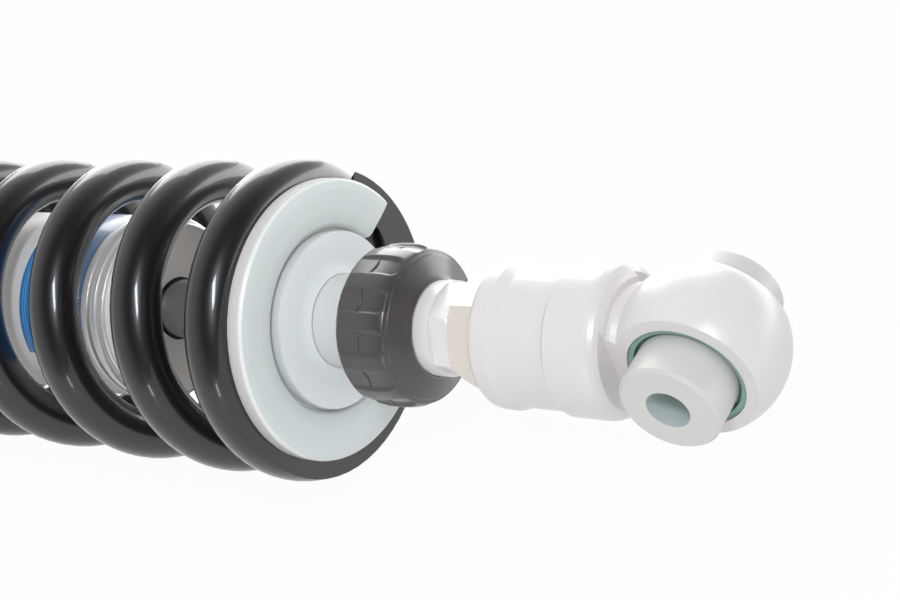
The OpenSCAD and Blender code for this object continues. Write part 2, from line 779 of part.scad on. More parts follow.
// Filling valve: a stem through the cap's flange with a hexagon on its spot face
module gas_valve() {
    color([0.72, 0.6, 0.32]) translate([x_valve, 0, 0]) difference() {
        union() {
            translate([0, 0, valve_low]) cylinder(d = valve_d, h = valve_top - valve_low, $fn = 48);
            translate([0, 0, valve_face]) linear_extrude(height = valve_hex_h)
                hexagon(valve_af, 0);
        }
        translate([0, 0, valve_low - over]) cylinder(r = valve_hole_r, h = valve_top, $fn = 24);
    }
}

module valve_cap() {
    low = valve_face + valve_hex_h + cover_gap;
    roof = 1.6;
    color([0.1, 0.1, 0.11]) translate([x_valve, 0, 0]) difference() {
        translate([0, 0, low]) cylinder(d = valve_cap_d, h = valve_top + roof - low, $fn = 48);
        translate([0, 0, low - over]) cylinder(r = valve_d / 2 + press_gap,
            h = valve_top + slide_gap - low + over, $fn = 48);
    }
}

// Body tube, with two round-bottomed grooves near its rod end and the circlip's groove inside
module body_tube() {
    end = eye_to_eye - cap_len;
    centre = tube_r - ring_d + ring_curve;
    color([0.78, 0.79, 0.80]) turned(concat(
        [[s_tube, bore_r], [s_tube, tube_r - edge], [s_tube + edge, tube_r]],
        [for (k = [0, 1]) each arc(s_ring + k * ring_pitch, centre, ring_curve,
            270 - ring_sweep, 270 + ring_sweep, 6)],
        [[end, tube_r], [end, bore_r], [s_seal, bore_r], [s_seal, bore_r + clip_depth],
        [s_clip, bore_r + clip_depth], [s_clip, bore_r]]));
}

// Dust cap pressed into the tube's mouth, with the wiper's pocket behind its face
module dust_cap() {
    plug = bore_r - press_gap;
    end = s_clip - fine;
    lip_r = wiper_r - wiper_wall;
    color([0.77, 0.75, 0.71]) turned([[s_face, lip_r], [s_face, cap_r - edge],
        [s_face + edge, cap_r], [s_tube, cap_r], [s_tube, plug], [end, plug], [end, wiper_r],
        [s_face + soft, wiper_r], [s_face + soft, lip_r]]);
}

module wiper_seal() {
    lip = rod_r + run_gap;
    end = s_clip - fine;
    out = wiper_r - press_gap;
    color([0.08, 0.08, 0.08]) turned([[s_face + fine, lip], [s_face + fine, lip + fine],
        [s_face + soft, lip + fine], [s_face + soft, out], [end, out], [end, lip + edge],
        [s_face + 2 * soft, lip + edge], [s_face + soft + fine, lip]]);
}

module seal_head_circlip() {
    wall = 2.2;
    mouth = 6;
    color([0.3, 0.3, 0.31]) difference() {
        ring(s_clip, s_seal, bore_r - wall, bore_r + clip_depth - slide_gap);
        translate([eye_to_eye - s_seal - over, -mouth / 2, 0])
            cube([clip_t + 2 * over, mouth, 2 * bore_r]);
    }
}

// Seal head: closes the tube round the rod and holds its seal, bush and outer O-ring
module seal_head() {
    out = bore_r - press_gap;
    pass = rod_r + face_gap;
    color([0.66, 0.67, 0.68]) turned([
        [s_seal, rod_seal_r], [s_seal, out], [s_head_groove, out],
        [s_head_groove, groove_floor], [s_head_groove + groove_w, groove_floor],
        [s_head_groove + groove_w, out], [s_seal_end - edge, out], [s_seal_end, out - edge],
        [s_seal_end, rod_r + bush_t], [s_seal_end - bush_len, rod_r + bush_t],
        [s_seal_end - bush_len, pass], [s_seal + seal_pocket, pass],
        [s_seal + seal_pocket, rod_seal_r]]);
}

module seal_head_o_ring() {
    color([0.1, 0.1, 0.1]) cord_ring(s_head_groove + groove_w / 2, bore_r - press_gap);
}

module rod_seal() {
    color([0.15, 0.3, 0.5]) ring(s_seal + edge, s_seal + seal_pocket, rod_r + run_gap,
        rod_seal_r - press_gap);
}

module rod_bush() {
    color([0.55, 0.45, 0.3]) ring(s_seal_end - bush_len, s_seal_end, rod_r + run_gap,
        rod_r + bush_t - press_gap);
}

// Hollow piston rod, threaded into the coupler, with a spigot for the piston stack
module piston_rod() {
    thread_r = rod_thread_d / 2 - press_gap;
    start = s_coupler_end - rod_thread_len + edge;
    color([0.32, 0.32, 0.34]) difference() {
        turned([[start, 0], [start, thread_r], [s_coupler_end, thread_r],
            [s_coupler_end, rod_r], [s_stop, rod_r], [s_stop, tip_r], [s_rod_tip, tip_r],
            [s_rod_tip, 0]]);
        bar(s_coupler_end - rod_thread_len, s_orifice, rod_bore_d / 2);
        bar(s_orifice - over, s_rod_tip + over, orifice_d / 2);
        bleed_port();
        pin_slot();
    }
}

// Bleed port across the rod, just on the rod side of the piston
module bleed_port() {
    translate([eye_to_eye - s_port, 0, 0]) cylinder(d = port_d, h = 4 * rod_r, center = true,
        $fn = 32);
}

// Metering rod with its needle, moved along the rod by the knob
module metering_rod() {
    taper = 6.5;
    tip_in = 2;
    point_r = 0.9;
    color([0.75, 0.76, 0.78]) difference() {
        turned([[s_pin - drive_pin_d, 0], [s_pin - drive_pin_d, needle_r],
            [s_orifice + tip_in - taper, needle_r], [s_orifice + tip_in, point_r],
            [s_orifice + tip_in, 0]]);
        translate([eye_to_eye - s_pin, 0, 0]) cylinder(r = pin_r + press_gap, h = 3 * needle_r,
            center = true, $fn = 32);
    }
}

module drive_pin() {
    color([0.5, 0.5, 0.52]) translate([eye_to_eye - s_pin, 0, 0])
        cylinder(r = pin_r, h = 2 * pin_reach, center = true, $fn = 32);
}

module top_out_bumper() {
    color([0.12, 0.12, 0.12]) difference() {
        turned([[s_topout, rod_r + press_gap], [s_topout, topout_r - soft],
            [s_topout + soft, topout_r], [s_stop, topout_r], [s_stop, rod_r + press_gap]]);
        bleed_port();
    }
}

module stop_washer() {
    color([0.6, 0.6, 0.62]) ring(s_stop, s_rebound, tip_r + press_gap, topout_r + edge);
}

// Stack of thin discs from station s, widest beside the piston
module shim_stack(s, side) {
    widest = bore_r - 4;
    step_in = 1.8;
    for (i = [0 : shims - 1]) let (step = side > 0 ? i : shims - 1 - i)
        ring(s + i * shim_t, s + (i + 1) * shim_t - eps, tip_r + press_gap, widest - step_in * step);
}

module rebound_shims() {
    color([0.42, 0.43, 0.46]) shim_stack(s_rebound, -1);
}

module compression_shims() {
    color([0.42, 0.43, 0.46]) shim_stack(s_piston_end, 1);
}

module piston() {
    port_at = (tip_r + bore_r) / 2;
    color([0.7, 0.68, 0.62]) difference() {
        turned([[s_piston, tip_r + press_gap], [s_piston, loose_r], [s_band, loose_r],
            [s_band, loose_r - band_t], [s_band + band_w, loose_r - band_t],
            [s_band + band_w, loose_r], [s_piston_end, loose_r],
            [s_piston_end, tip_r + press_gap]]);
        for (i = [0 : piston_ports - 1]) rotate([360 * i / piston_ports, 0, 0])
            translate([eye_to_eye - s_piston_end - over, 0, port_at]) rotate([0, 90, 0])
            cylinder(d = piston_port_d, h = piston_t + 2 * over, $fn = 32);
    }
}

module piston_band() {
    color([0.2, 0.35, 0.3]) ring(s_band, s_band + band_w, loose_r - band_t + press_gap,
        bore_r - run_gap);
}

module piston_nut() {
    color([0.55, 0.56, 0.58]) difference() {
        across(s_piston_nut, piston_nut_h) hexagon(piston_nut_af, 0);
        bar(s_piston_nut - over, s_piston_nut + piston_nut_h + over, tip_r + press_gap);
    }
}

// Microcellular bump stop: a waisted barrel with a tapered nose
module bump_stop() {
    in = rod_r + cover_gap;
    waist = 2.2;
    fraction_in = [[0.3, 0], [0.4, waist], [0.5, waist / 4], [0.68, waist / 2],
        [0.78, 1.5 * waist], [1, 2 * waist]];
    color([0.13, 0.13, 0.12]) turned([[s_bump, in], [s_bump, bump_r - edge],
        [s_bump + edge, bump_r],
        for (p = fraction_in) [s_bump + p[0] * bump_len, bump_r - p[1]], [s_bump + bump_len, in]]);
}

// Floating piston between the oil and the gas, hollowed on its gas side
module floating_piston() {
    end = s_floating + floating_len;
    wall = 6;
    floor = 5;
    draft = 2;
    color([0.66, 0.6, 0.45]) turned([[s_floating, 0], [s_floating, loose_r],
        [s_floating_band, loose_r], [s_floating_band, loose_r - band_t],
        [s_floating_band + floating_band_w, loose_r - band_t],
        [s_floating_band + floating_band_w, loose_r],
        [s_floating_groove, loose_r], [s_floating_groove, groove_floor],
        [s_floating_groove + groove_w, groove_floor], [s_floating_groove + groove_w, loose_r],
        [end, loose_r], [end, loose_r - wall], [s_floating + floor, loose_r - wall - draft],
        [s_floating + floor, 0]]);
}

module floating_band() {
    color([0.2, 0.35, 0.3]) ring(s_floating_band, s_floating_band + floating_band_w,
        loose_r - band_t + press_gap, bore_r - run_gap);
}

module floating_o_ring() {
    color([0.1, 0.1, 0.1]) cord_ring(s_floating_groove + groove_w / 2, bore_r - run_gap);
}

// Upper spring seat, which slides on the tube's thread
module spring_seat() {
    in = tube_r + cover_gap;
    color([0.74, 0.76, 0.76]) turned_x([[x_thrust, in], [x_thrust, seat_r - edge],
        [x_thrust + edge, seat_r], [x_seat, seat_r], [x_seat, spigot_r],
        [x_seat + spigot_h - edge, spigot_r], [x_seat + spigot_h, spigot_r - edge],
        [x_seat + spigot_h, in]]);
}

module thrust_washer() {
    color([0.85, 0.84, 0.78]) turned_x([[x_thrust - thrust_t, tube_r + cover_gap],
        [x_thrust - thrust_t, preload_r], [x_thrust, preload_r],
        [x_thrust, tube_r + cover_gap]]);
}

// Threaded ring that ends at x, with spanner slots round its rim
module slotted_ring(x, h, r) {
    difference() {
        turned_x([[x - h, tube_r + run_gap], [x - h, r - edge], [x - h + edge, r],
            [x - edge, r], [x, r - edge], [x, tube_r + run_gap]]);
        for (i = [0 : spanner_slots - 1]) rotate([360 * i / spanner_slots, 0, 0])
            translate([x - h - over, -spanner_w / 2, r - spanner_d])
            cube([h + 2 * over, spanner_w, r]);
    }
}

module preload_ring() {
    color([0.74, 0.76, 0.76]) slotted_ring(x_preload, preload_h, preload_r);
}

module lock_ring() {
    color([0.3, 0.31, 0.33]) slotted_ring(x_lock, lock_h, lock_r);
}

coil_spring();
spring_retainer();
spring_cup();
adjuster_knob();
knob_core();
detent_ball();
detent_spring();
shaft_coupler();
jam_nut();
rod_end_eye();
bearing_race(eye_to_eye);  // rod_end_race
bearing_ball(eye_to_eye);  // rod_end_ball
eye_seals(eye_to_eye);  // rod_end_seals
eye_circlips(eye_to_eye);  // rod_end_circlips
eye_collar(eye_to_eye, -1);  // rod_end_collar_near
eye_collar(eye_to_eye, 1);  // rod_end_collar_far
bearing_race(0);  // body_end_race
bearing_ball(0);  // body_end_ball
eye_seals(0);  // body_end_seals
eye_circlips(0);  // body_end_circlips
eye_collar(0, -1);  // body_end_collar_near
eye_collar(0, 1);  // body_end_collar_far
end_cap();
end_cap_o_ring();
gas_valve();
valve_cap();
body_tube();
dust_cap();
wiper_seal();
seal_head_circlip();
seal_head();
seal_head_o_ring();
rod_seal();
rod_bush();
piston_rod();
metering_rod();
drive_pin();
top_out_bumper();
stop_washer();
rebound_shims();
piston();
piston_band();
compression_shims();
piston_nut();
bump_stop();
floating_piston();
floating_band();
floating_o_ring();
spring_seat();
thrust_washer();
preload_ring();
lock_ring();
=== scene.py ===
"""Rear shock absorber: the looks of every piece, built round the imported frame."""

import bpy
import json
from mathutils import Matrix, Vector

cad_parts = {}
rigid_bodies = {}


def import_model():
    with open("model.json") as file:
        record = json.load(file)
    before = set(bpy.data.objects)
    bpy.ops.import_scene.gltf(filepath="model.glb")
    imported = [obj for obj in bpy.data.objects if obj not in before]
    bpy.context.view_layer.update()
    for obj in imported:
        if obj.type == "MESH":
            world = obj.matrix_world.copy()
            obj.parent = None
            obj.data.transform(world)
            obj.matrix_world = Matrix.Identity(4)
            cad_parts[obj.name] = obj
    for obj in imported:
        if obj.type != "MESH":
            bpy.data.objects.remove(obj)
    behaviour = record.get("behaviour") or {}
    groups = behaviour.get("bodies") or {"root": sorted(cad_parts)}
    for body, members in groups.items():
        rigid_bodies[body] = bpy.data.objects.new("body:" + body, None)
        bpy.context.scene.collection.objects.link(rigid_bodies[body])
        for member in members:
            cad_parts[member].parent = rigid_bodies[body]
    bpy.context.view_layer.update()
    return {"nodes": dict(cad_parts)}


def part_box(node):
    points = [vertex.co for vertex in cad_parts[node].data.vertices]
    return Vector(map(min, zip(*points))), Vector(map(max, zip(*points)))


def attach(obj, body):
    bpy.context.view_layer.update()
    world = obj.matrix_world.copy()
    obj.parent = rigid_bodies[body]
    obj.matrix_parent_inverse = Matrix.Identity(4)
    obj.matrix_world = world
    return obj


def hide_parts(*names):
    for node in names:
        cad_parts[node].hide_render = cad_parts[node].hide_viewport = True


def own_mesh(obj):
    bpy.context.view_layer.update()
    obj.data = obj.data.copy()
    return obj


bl_info = {
    "name": "Rear shock absorber",
    "version": (1, 0, 0),
    "blender": (4, 5, 0),
    "location": "3D View > Sidebar > Shock",
    "description": "Spring, damper tube, knob and eyes of a rear shock absorber",
    "category": "Object",
}

import json
import math

import bmesh
import bpy
from mathutils import Matrix, Vector

for startup_object in list(bpy.data.objects):
    bpy.data.objects.remove(startup_object)

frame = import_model()

MM = 0.001
FULL_TURN = 2 * math.pi


# Places, from the frame

def low(node):
    """Lowest corner of a node's box, in metres."""
    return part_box(node)[0]


def high(node):
    """Highest corner of a node's box, in metres."""
    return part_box(node)[1]


ROD_EYE_X = (low("rod_end_collar_near").x + high("rod_end_collar_near").x) / 2
SPRING_LOW_X, SPRING_HIGH_X = low("coil_spring").x, high("coil_spring").x
TUBE_LOW_X, TUBE_HIGH_X = low("body_tube").x, high("body_tube").x
TUBE_R = high("body_tube").z
KNOB_LOW_X, KNOB_HIGH_X = low("adjuster_knob").x, high("adjuster_knob").x
KNOB_R = high("adjuster_knob").z
BOLT_R = 5 * MM
FLOOR_Z = low("coil_spring").z - 0.2 * MM


def srgb(red, green, blue):
    """Scene-linear colour of a colour read on screen, each channel from 0 to 255."""
    def linear(value):
        """One channel, from 0 to 1."""
        value /= 255
        return value / 12.92 if value <= 0.04045 else ((value + 0.055) / 1.055) ** 2.4
    return (linear(red), linear(green), linear(blue))


# Sizes and colours that a user would change

def length_value(label, about, millimetres):
    """A length property, kept in metres."""
    return bpy.props.FloatProperty(name=label, description=about, default=millimetres * MM,
                                   min=0.0, unit="LENGTH", precision=5)


def colour_value(label, about, colour):
    """A colour property."""
    return bpy.props.FloatVectorProperty(name=label, description=about, default=colour,
                                         subtype="COLOR", min=0.0, max=1.0)


class ShockSizes(bpy.types.PropertyGroup):
    """Sizes of the pieces that this script builds."""

    wire: length_value("Wire", "Diameter of the spring wire", 12.8)
    coil: length_value("Coil", "Mean diameter of the coils", 71.2)
    tip: length_value("Ground tip", "Thickness left at the ground tips of the wire", 1.2)
    turn_gap: length_value("Turn gap", "Gap between an end turn and the next", 0.5)
    working_turns: bpy.props.FloatProperty(
        name="Working turns", description="Turns between the two closed end turns",
        default=5.5, min=3.0, max=8.0)
    lean: length_value("Lean", "How far the open turns lean away, at their middle", 1.2)
    lean_swing: length_value("Lean swing", "How much the lean differs round a turn", 1.6)
    lean_way: bpy.props.FloatProperty(
        name="Lean way", description="Angle round the axis at which the turns lean least",
        default=math.radians(30), subtype="ANGLE")
    tip_angle: bpy.props.FloatProperty(
        name="Tip angle", description="Angle of the wire's tip at the rod end",
        default=math.radians(35), subtype="ANGLE")
    thread_pitch: length_value("Thread pitch", "Pitch of the body tube's thread", 1.5)
    thread_length: length_value("Thread length", "Length of the body tube's thread", 62)
    thread_depth: length_value("Thread depth", "Depth of the body tube's thread", 0.8)


class ShockColours(bpy.types.PropertyGroup):
    """Colours of the finishes."""

    spring: colour_value("Spring", "Gloss powder coat of the spring", srgb(22, 21, 22))
    retainer: colour_value("Retainer", "Paint of the slotted retainer", srgb(226, 233, 232))
    cup: colour_value("Cup", "Paint of the cup and its sleeve", srgb(238, 243, 244))
    knob: colour_value("Knob", "Rubber of the knob", srgb(66, 61, 62))
    eye: colour_value("Eye", "Anodised aluminium of the rod-end body", srgb(222, 218, 216))
    collar: colour_value("Collars", "Anodised collars of the eyes", srgb(211, 210, 206))
    seal: colour_value("Seals", "Rubber rings beside the bearings", srgb(132, 166, 158))
    band: colour_value("Band", "Painted band round the body tube", srgb(48, 128, 200))


class ShockStudio(bpy.types.PropertyGroup):
    """Light and background."""

    sky: bpy.props.FloatProperty(name="Sky", description="Strength of the soft light all round",
                                 default=0.98, min=0.0, max=4.0)
    room: bpy.props.FloatProperty(
        name="Room", description="Share of white that gloss shows in the dark part of the room",
        default=0.08, min=0.0, max=1.0)
    key: bpy.props.FloatProperty(name="Key", description="Power of the small softbox overhead",
                                 default=4.2, min=0.0, max=100.0, subtype="POWER", unit="POWER")
    back: bpy.props.FloatProperty(name="Back", description="Power of the wide softbox behind",
                                  default=22.0, min=0.0, max=100.0, subtype="POWER", unit="POWER")
    flash: bpy.props.FloatProperty(
        name="Flash", description="Power of the box beside the camera, seen in gloss alone",
        default=1.2, min=0.0, max=100.0, subtype="POWER", unit="POWER")
    low: bpy.props.FloatProperty(
        name="Low", description="Power of the small low lamp, seen in gloss alone",
        default=0.035, min=0.0, max=100.0, subtype="POWER", unit="POWER")
    sheen: bpy.props.FloatProperty(
        name="Sheen", description="Power of the bright sweep behind, seen in gloss alone",
        default=14.0, min=0.0, max=100.0, subtype="POWER", unit="POWER")


# Shader node helpers

class Nodes:
    """Short calls for laying out one node tree."""

    def __init__(self, tree):
        self.tree = tree

    def add(self, kind, **inputs):
        """Adds a node, and sets its properties and inputs by name."""
        node = self.tree.nodes.new(kind)
        for name, value in inputs.items():
            key = name.replace("_", " ")
            if hasattr(node, name) and key not in node.inputs:
                setattr(node, name, value)
            elif key in node.inputs:
                self.feed(node.inputs[key], value)
            else:
                raise KeyError(f"{kind} has no {name}")
        return node

    def feed(self, socket, value):
        """Links a socket to an output, or sets its value."""
        if isinstance(value, bpy.types.NodeSocket):
            self.tree.links.new(value, socket)
        else:
            socket.default_value = value

    def math(self, operation, first, second=0.0, clamp=False):
        """Result of a Math node."""
        node = self.add("ShaderNodeMath", operation=operation, use_clamp=clamp)
        for socket, value in zip(node.inputs, (first, second)):
            self.feed(socket, value)
        return node.outputs[0]

    def dot(self, first, second):
        """Dot product of two vectors."""
        node = self.add("ShaderNodeVectorMath", operation="DOT_PRODUCT")
        for socket, value in zip(node.inputs, (first, second)):
            self.feed(socket, value)
        return node.outputs["Value"]

    def length(self, first, second):
        """Length of a flat vector from its two parts."""
        return self.math("SQRT", self.math("ADD", self.math("MULTIPLY", first, first),
                                           self.math("MULTIPLY", second, second)))

    def mix(self, factor, first, second):
        """Colour mixed from two."""
        node = self.add("ShaderNodeMix", data_type="RGBA")
        for name, value in (("Factor_Float", factor), ("A_Color", first), ("B_Color", second)):
            socket = next(s for s in node.inputs if s.identifier == name)
            self.feed(socket, (*value, 1.0) if isinstance(value, tuple) and len(value) == 3
                      else value)
        return next(s for s in node.outputs if s.identifier == "Result_Color")

    def mix_shaders(self, factor, first, second):
        """Shader mixed from the outputs of two shader nodes."""
        node = self.add("ShaderNodeMixShader", Fac=factor)
        self.feed(node.inputs[1], first.outputs[0])
        self.feed(node.inputs[2], second.outputs[0])
        return node

    def spread(self, value, from_low, from_high, to_low, to_high):
        """Map Range of a value, clamped."""
        node = self.add("ShaderNodeMapRange", Value=value)
        for socket, number in zip(node.inputs[1:5], (from_low, from_high, to_low, to_high)):
            self.feed(socket, number)
        return node.outputs[0]

    def place(self):
        """Object coordinates, split."""
        whole = self.add("ShaderNodeTexCoord").outputs["Object"]
        return self.add("ShaderNodeSeparateXYZ", Vector=whole).outputs

    def from_axis(self):
        """Distance from the shock's axis."""
        place = self.place()
        return self.length(place["Y"], place["Z"])


def bare_nodes(owner):
    """Layout helper for the emptied node tree of a new material or world."""
    owner.use_nodes = True
    owner.node_tree.nodes.clear()
    return Nodes(owner.node_tree)


def shader_group(name, takes, lay_out):
    """Shader node group with float sockets, laid out when it is first asked for."""
    tree = bpy.data.node_groups.get(name)
    if tree:
        return tree
    tree = bpy.data.node_groups.new(name, "ShaderNodeTree")
    for label, default in takes.items():
        socket = tree.interface.new_socket(label, in_out="INPUT", socket_type="NodeSocketFloat")
        socket.default_value = default
    n = Nodes(tree)
    results = lay_out(n, n.add("NodeGroupInput").outputs)
    for label in results:
        tree.interface.new_socket(label, in_out="OUTPUT", socket_type="NodeSocketFloat")
    given = n.add("NodeGroupOutput").inputs
    for label, result in results.items():
        n.feed(given[label], result)
    return tree


def fine_grain():
    """Fine cast, moulded or sprayed grain: a height, and a tone that drifts slowly."""
    def lay_out(n, taken):
        """Noise of the grain's size, and noise of the drift's."""
        place = n.add("ShaderNodeTexCoord").outputs["Object"]
        grain = n.add("ShaderNodeTexNoise", Vector=place, Detail=3.0, Roughness=0.6,
                      Scale=n.math("DIVIDE", 1 / MM, taken["Size"]))
        drift = n.add("ShaderNodeTexNoise", Vector=place, Detail=2.0, Roughness=0.5,
                      Scale=n.math("DIVIDE", 1 / MM, taken["Drift"]))
        return {"Height": grain.outputs["Fac"], "Tone": drift.outputs["Fac"]}
    return shader_group("fine grain", {"Size": 0.5, "Drift": 8.0}, lay_out)


def turned_lines():
    """Tool marks that run round the shock's axis, or round an eye's bore when Across is 1."""
    def lay_out(n, taken):
        """Noise over the distances along and out from the axis of turning."""
        place = n.place()
        from_eye = n.math("SUBTRACT", place["X"], taken["Centre"])
        along = n.add("ShaderNodeMix", data_type="FLOAT", Factor=taken["Across"])
        n.feed(along.inputs["A"], place["X"])
        n.feed(along.inputs["B"], place["Y"])
        side = n.add("ShaderNodeMix", data_type="FLOAT", Factor=taken["Across"])
        n.feed(side.inputs["A"], place["Y"])
        n.feed(side.inputs["B"], from_eye)
        out = n.length(side.outputs[0], place["Z"])
        both = n.add("ShaderNodeCombineXYZ", X=along.outputs[0], Y=out).outputs[0]
        per_line = n.math("DIVIDE", 1 / MM, taken["Spacing"])
        wide_share = 0.08
        fine = n.add("ShaderNodeTexNoise", noise_dimensions="2D", Vector=both,
                     Scale=per_line, Detail=2.0, Roughness=0.7)
        wide = n.add("ShaderNodeTexNoise", noise_dimensions="2D", Vector=both,
                     Scale=n.math("MULTIPLY", per_line, wide_share), Detail=2.0, Roughness=0.5)
        return {"Height": fine.outputs["Fac"], "Tone": wide.outputs["Fac"]}
    return shader_group("turned lines", {"Spacing": 0.2, "Across": 0.0, "Centre": 0.0}, lay_out)


def lit_and_worn_edges():
    """Mask of the convex edges, broken up by noise, for a painted highlight along them."""
    def lay_out(n, taken):
        """How far a rounded normal turns from the flat one, times the chips."""
        radius = n.math("MULTIPLY", taken["Width"], MM)
        rounded = n.add("ShaderNodeBevel", samples=4, Radius=radius).outputs["Normal"]
        flat = n.add("ShaderNodeNewGeometry").outputs["Normal"]
        bend = n.math("SUBTRACT", 1.0, n.dot(rounded, flat))
        place = n.add("ShaderNodeTexCoord").outputs["Object"]
        chips = n.add("ShaderNodeTexNoise", Vector=place, Scale=420.0, Detail=3.0)
        broken = n.math("MULTIPLY", bend, n.spread(chips.outputs["Fac"], 0.35, 0.7, 0.2, 2.4))
        return {"Mask": n.math("MULTIPLY", broken, taken["Amount"], clamp=True)}
    return shader_group("worn edges", {"Width": 0.4, "Amount": 1.0}, lay_out)


class Finish:
    """A material under way: its Principled shader and the layout helper."""

    def __init__(self, name, colour, roughness, metallic=0.0, **sockets):
        self.material = bpy.data.materials.new(name)
        self.n = bare_nodes(self.material)
        self.shader = self.n.add("ShaderNodeBsdfPrincipled", Base_Color=(*colour, 1.0),
                                 Roughness=roughness, Metallic=metallic, **sockets)
        self.n.add("ShaderNodeOutputMaterial", Surface=self.shader.outputs[0])
        self.colour = colour

    def group(self, tree, **inputs):
        """Places a shader group with its own values and returns its outputs."""
        return self.n.add("ShaderNodeGroup", node_tree=tree, **inputs).outputs

    def feed(self, socket, value):
        """Links or sets a socket of the shader."""
        self.n.feed(self.shader.inputs[socket], value)

    def tint(self, mask, colour):
        """Mixes another colour in by a mask."""
        socket = self.shader.inputs["Base Color"]
        was = socket.links[0].from_socket if socket.is_linked else self.colour
        self.n.feed(socket, self.n.mix(mask, was, colour))

    def roughen(self, tone, low_end, high_end):
        """Roughness that runs between two values over the surface, and half as far past them
        where the tone is strongest."""
        margin = (high_end - low_end) / 2
        self.feed("Roughness", self.n.spread(tone, 0.1, 0.9, low_end - margin,
                                             high_end + margin))

    def bump(self, height, depth):
        """Bump from a height, depth in millimetres."""
        node = self.n.add("ShaderNodeBump", Height=height, Distance=depth * MM)
        self.feed("Normal", node.outputs[0])


ROUGHNESS_SPREAD = 0.03


def machined(name, colour, roughness, spacing=0.25, depth=0.004, centre=None, metallic=1.0):
    """Turned metal with fine tool marks, spacing and depth in millimetres."""
    finish = Finish(name, colour, roughness, metallic)
    lines = finish.group(turned_lines(), Spacing=spacing, Across=0.0 if centre is None else 1.0,
                         Centre=centre or 0.0)
    finish.bump(lines["Height"], depth)
    finish.roughen(lines["Tone"], roughness - ROUGHNESS_SPREAD, roughness + ROUGHNESS_SPREAD)
    return finish


def moulded(name, colour, roughness, size=0.4, depth=0.01, **values):
    """Rubber or plastic with a fine moulded grain, size and depth in millimetres."""
    finish = Finish(name, colour, roughness, **values)
    grain = finish.group(fine_grain(), Size=size, Drift=9.0)
    finish.bump(grain["Height"], depth)
    finish.roughen(grain["Tone"], roughness - ROUGHNESS_SPREAD, roughness + ROUGHNESS_SPREAD)
    return finish


def edge_highlight_and_wear(finish, width, amount, colour):
    """Paints a colour along the convex edges, width in millimetres: a painted highlight, broken up
    like rubbed wear.
    """
    mask = finish.group(lit_and_worn_edges(), Width=width, Amount=amount)["Mask"]
    finish.tint(mask, colour)


def dress(node_name, finish):
    """Gives a CAD node its material."""
    node = frame["nodes"][node_name]
    node.data.materials.clear()
    node.data.materials.append(finish.material)


# Mesh helpers

def new_piece(name, vertices, faces, smooth_below=35.0):
    """Object from points and faces, smooth except across edges sharper than an angle."""
    mesh = bpy.data.meshes.new(name)
    mesh.from_pydata([tuple(v) for v in vertices], [], faces)
    mesh.validate()
    build = bmesh.new()
    build.from_mesh(mesh)
    bmesh.ops.recalc_face_normals(build, faces=build.faces)
    build.to_mesh(mesh)
    build.free()
    mesh.polygons.foreach_set("use_smooth", [True] * len(mesh.polygons))
    mesh.set_sharp_from_angle(angle=math.radians(smooth_below))
    piece = bpy.data.objects.new(name, mesh)
    bpy.context.scene.collection.objects.link(piece)
    return piece


def finish_piece(piece, body, slot, finish, *nodes):
    """Gives a built piece its material and body, and hides the CAD nodes that it stands for; the
    slot is not used.
    """
    piece.data.materials.append(finish.material)
    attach(piece, body)
    if nodes:
        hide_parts(*nodes)


def arc(centre_x, centre_r, radius, start, end, steps):
    """Points of a round stretch of an outline, angles in degrees."""
    turns = [math.radians(start + (end - start) * i / steps) for i in range(steps + 1)]
    return [(centre_x + radius * math.cos(t), centre_r + radius * math.sin(t)) for t in turns]


def ring_faces(rings, sides):
    """Four-sided faces between rings of points, each ring and the next."""
    return [(i * sides + k, i * sides + (k + 1) % sides, (i + 1) * sides + (k + 1) % sides,
             (i + 1) * sides + k) for i in range(rings) for k in range(sides)]


def capped_faces(rings, sides):
    """Faces of a closed tube: those between its rings, and one over either end."""
    return [*ring_faces(rings, sides), tuple(range(sides)),
            tuple(rings * sides + k for k in range(sides))]


def turned(name, outline, sides, smooth_below):
    """Solid turned about the shock's axis from a closed outline of (x, radius), in metres. A
    radius may be a function of the angle."""
    vertices = []
    for x, radius in outline:
        for k in range(sides):
            angle = FULL_TURN * k / sides
            r = radius(angle) if callable(radius) else radius
            vertices.append((x, r * math.cos(angle), r * math.sin(angle)))
    count = len(vertices)
    faces = [tuple(corner % count for corner in face)
             for face in ring_faces(len(outline), sides)]
    return new_piece(name, vertices, faces, smooth_below)


# Coil spring

CLIMB_EASE = 0.12  # turns, before and after the wire leaves a closed turn
LEAN_SETS_IN = (0.3, 0.55)  # turns from the rod end
LEAN_FADES = (1.9, 1.2)  # turns from the body end
DEEPEST_CUT = 0.95  # of the wire's radius, at a ground face


def smooth_step(value, start, end):
    """Rises from 0 to 1 between two values, level at both."""
    share = min(1.0, max(0.0, (value - start) / (end - start)))
    return share * share * (3 - 2 * share)


def spring_height(turn, sizes):
    """Distance of the wire's centre from the rod-end face of the spring, at a turn."""
    wire = sizes.wire
    overhang = wire / 2 - sizes.tip
    total_turns = sizes.working_turns + 2
    closed = wire + sizes.turn_gap
    rise = (SPRING_HIGH_X - SPRING_LOW_X) + 2 * overhang
    climb = (rise - 2 * closed) / sizes.working_turns

    def bend(at):
        """Turns past a place, eased round it."""
        if turn < at - CLIMB_EASE:
            return 0.0
        if turn > at + CLIMB_EASE:
            return turn - at
        return (turn - at + CLIMB_EASE) ** 2 / (4 * CLIMB_EASE)

    fade_start, fade_end = (total_turns - back for back in LEAN_FADES)
    free = smooth_step(turn, *LEAN_SETS_IN) * (1 - smooth_step(turn, fade_start, fade_end))
    angle = sizes.tip_angle - FULL_TURN * turn
    leaning = free * (sizes.lean - sizes.lean_swing * math.cos(angle - sizes.lean_way))
    return (-overhang + closed * turn + leaning
            + (climb - closed) * (bend(1) - bend(total_turns - 1)))


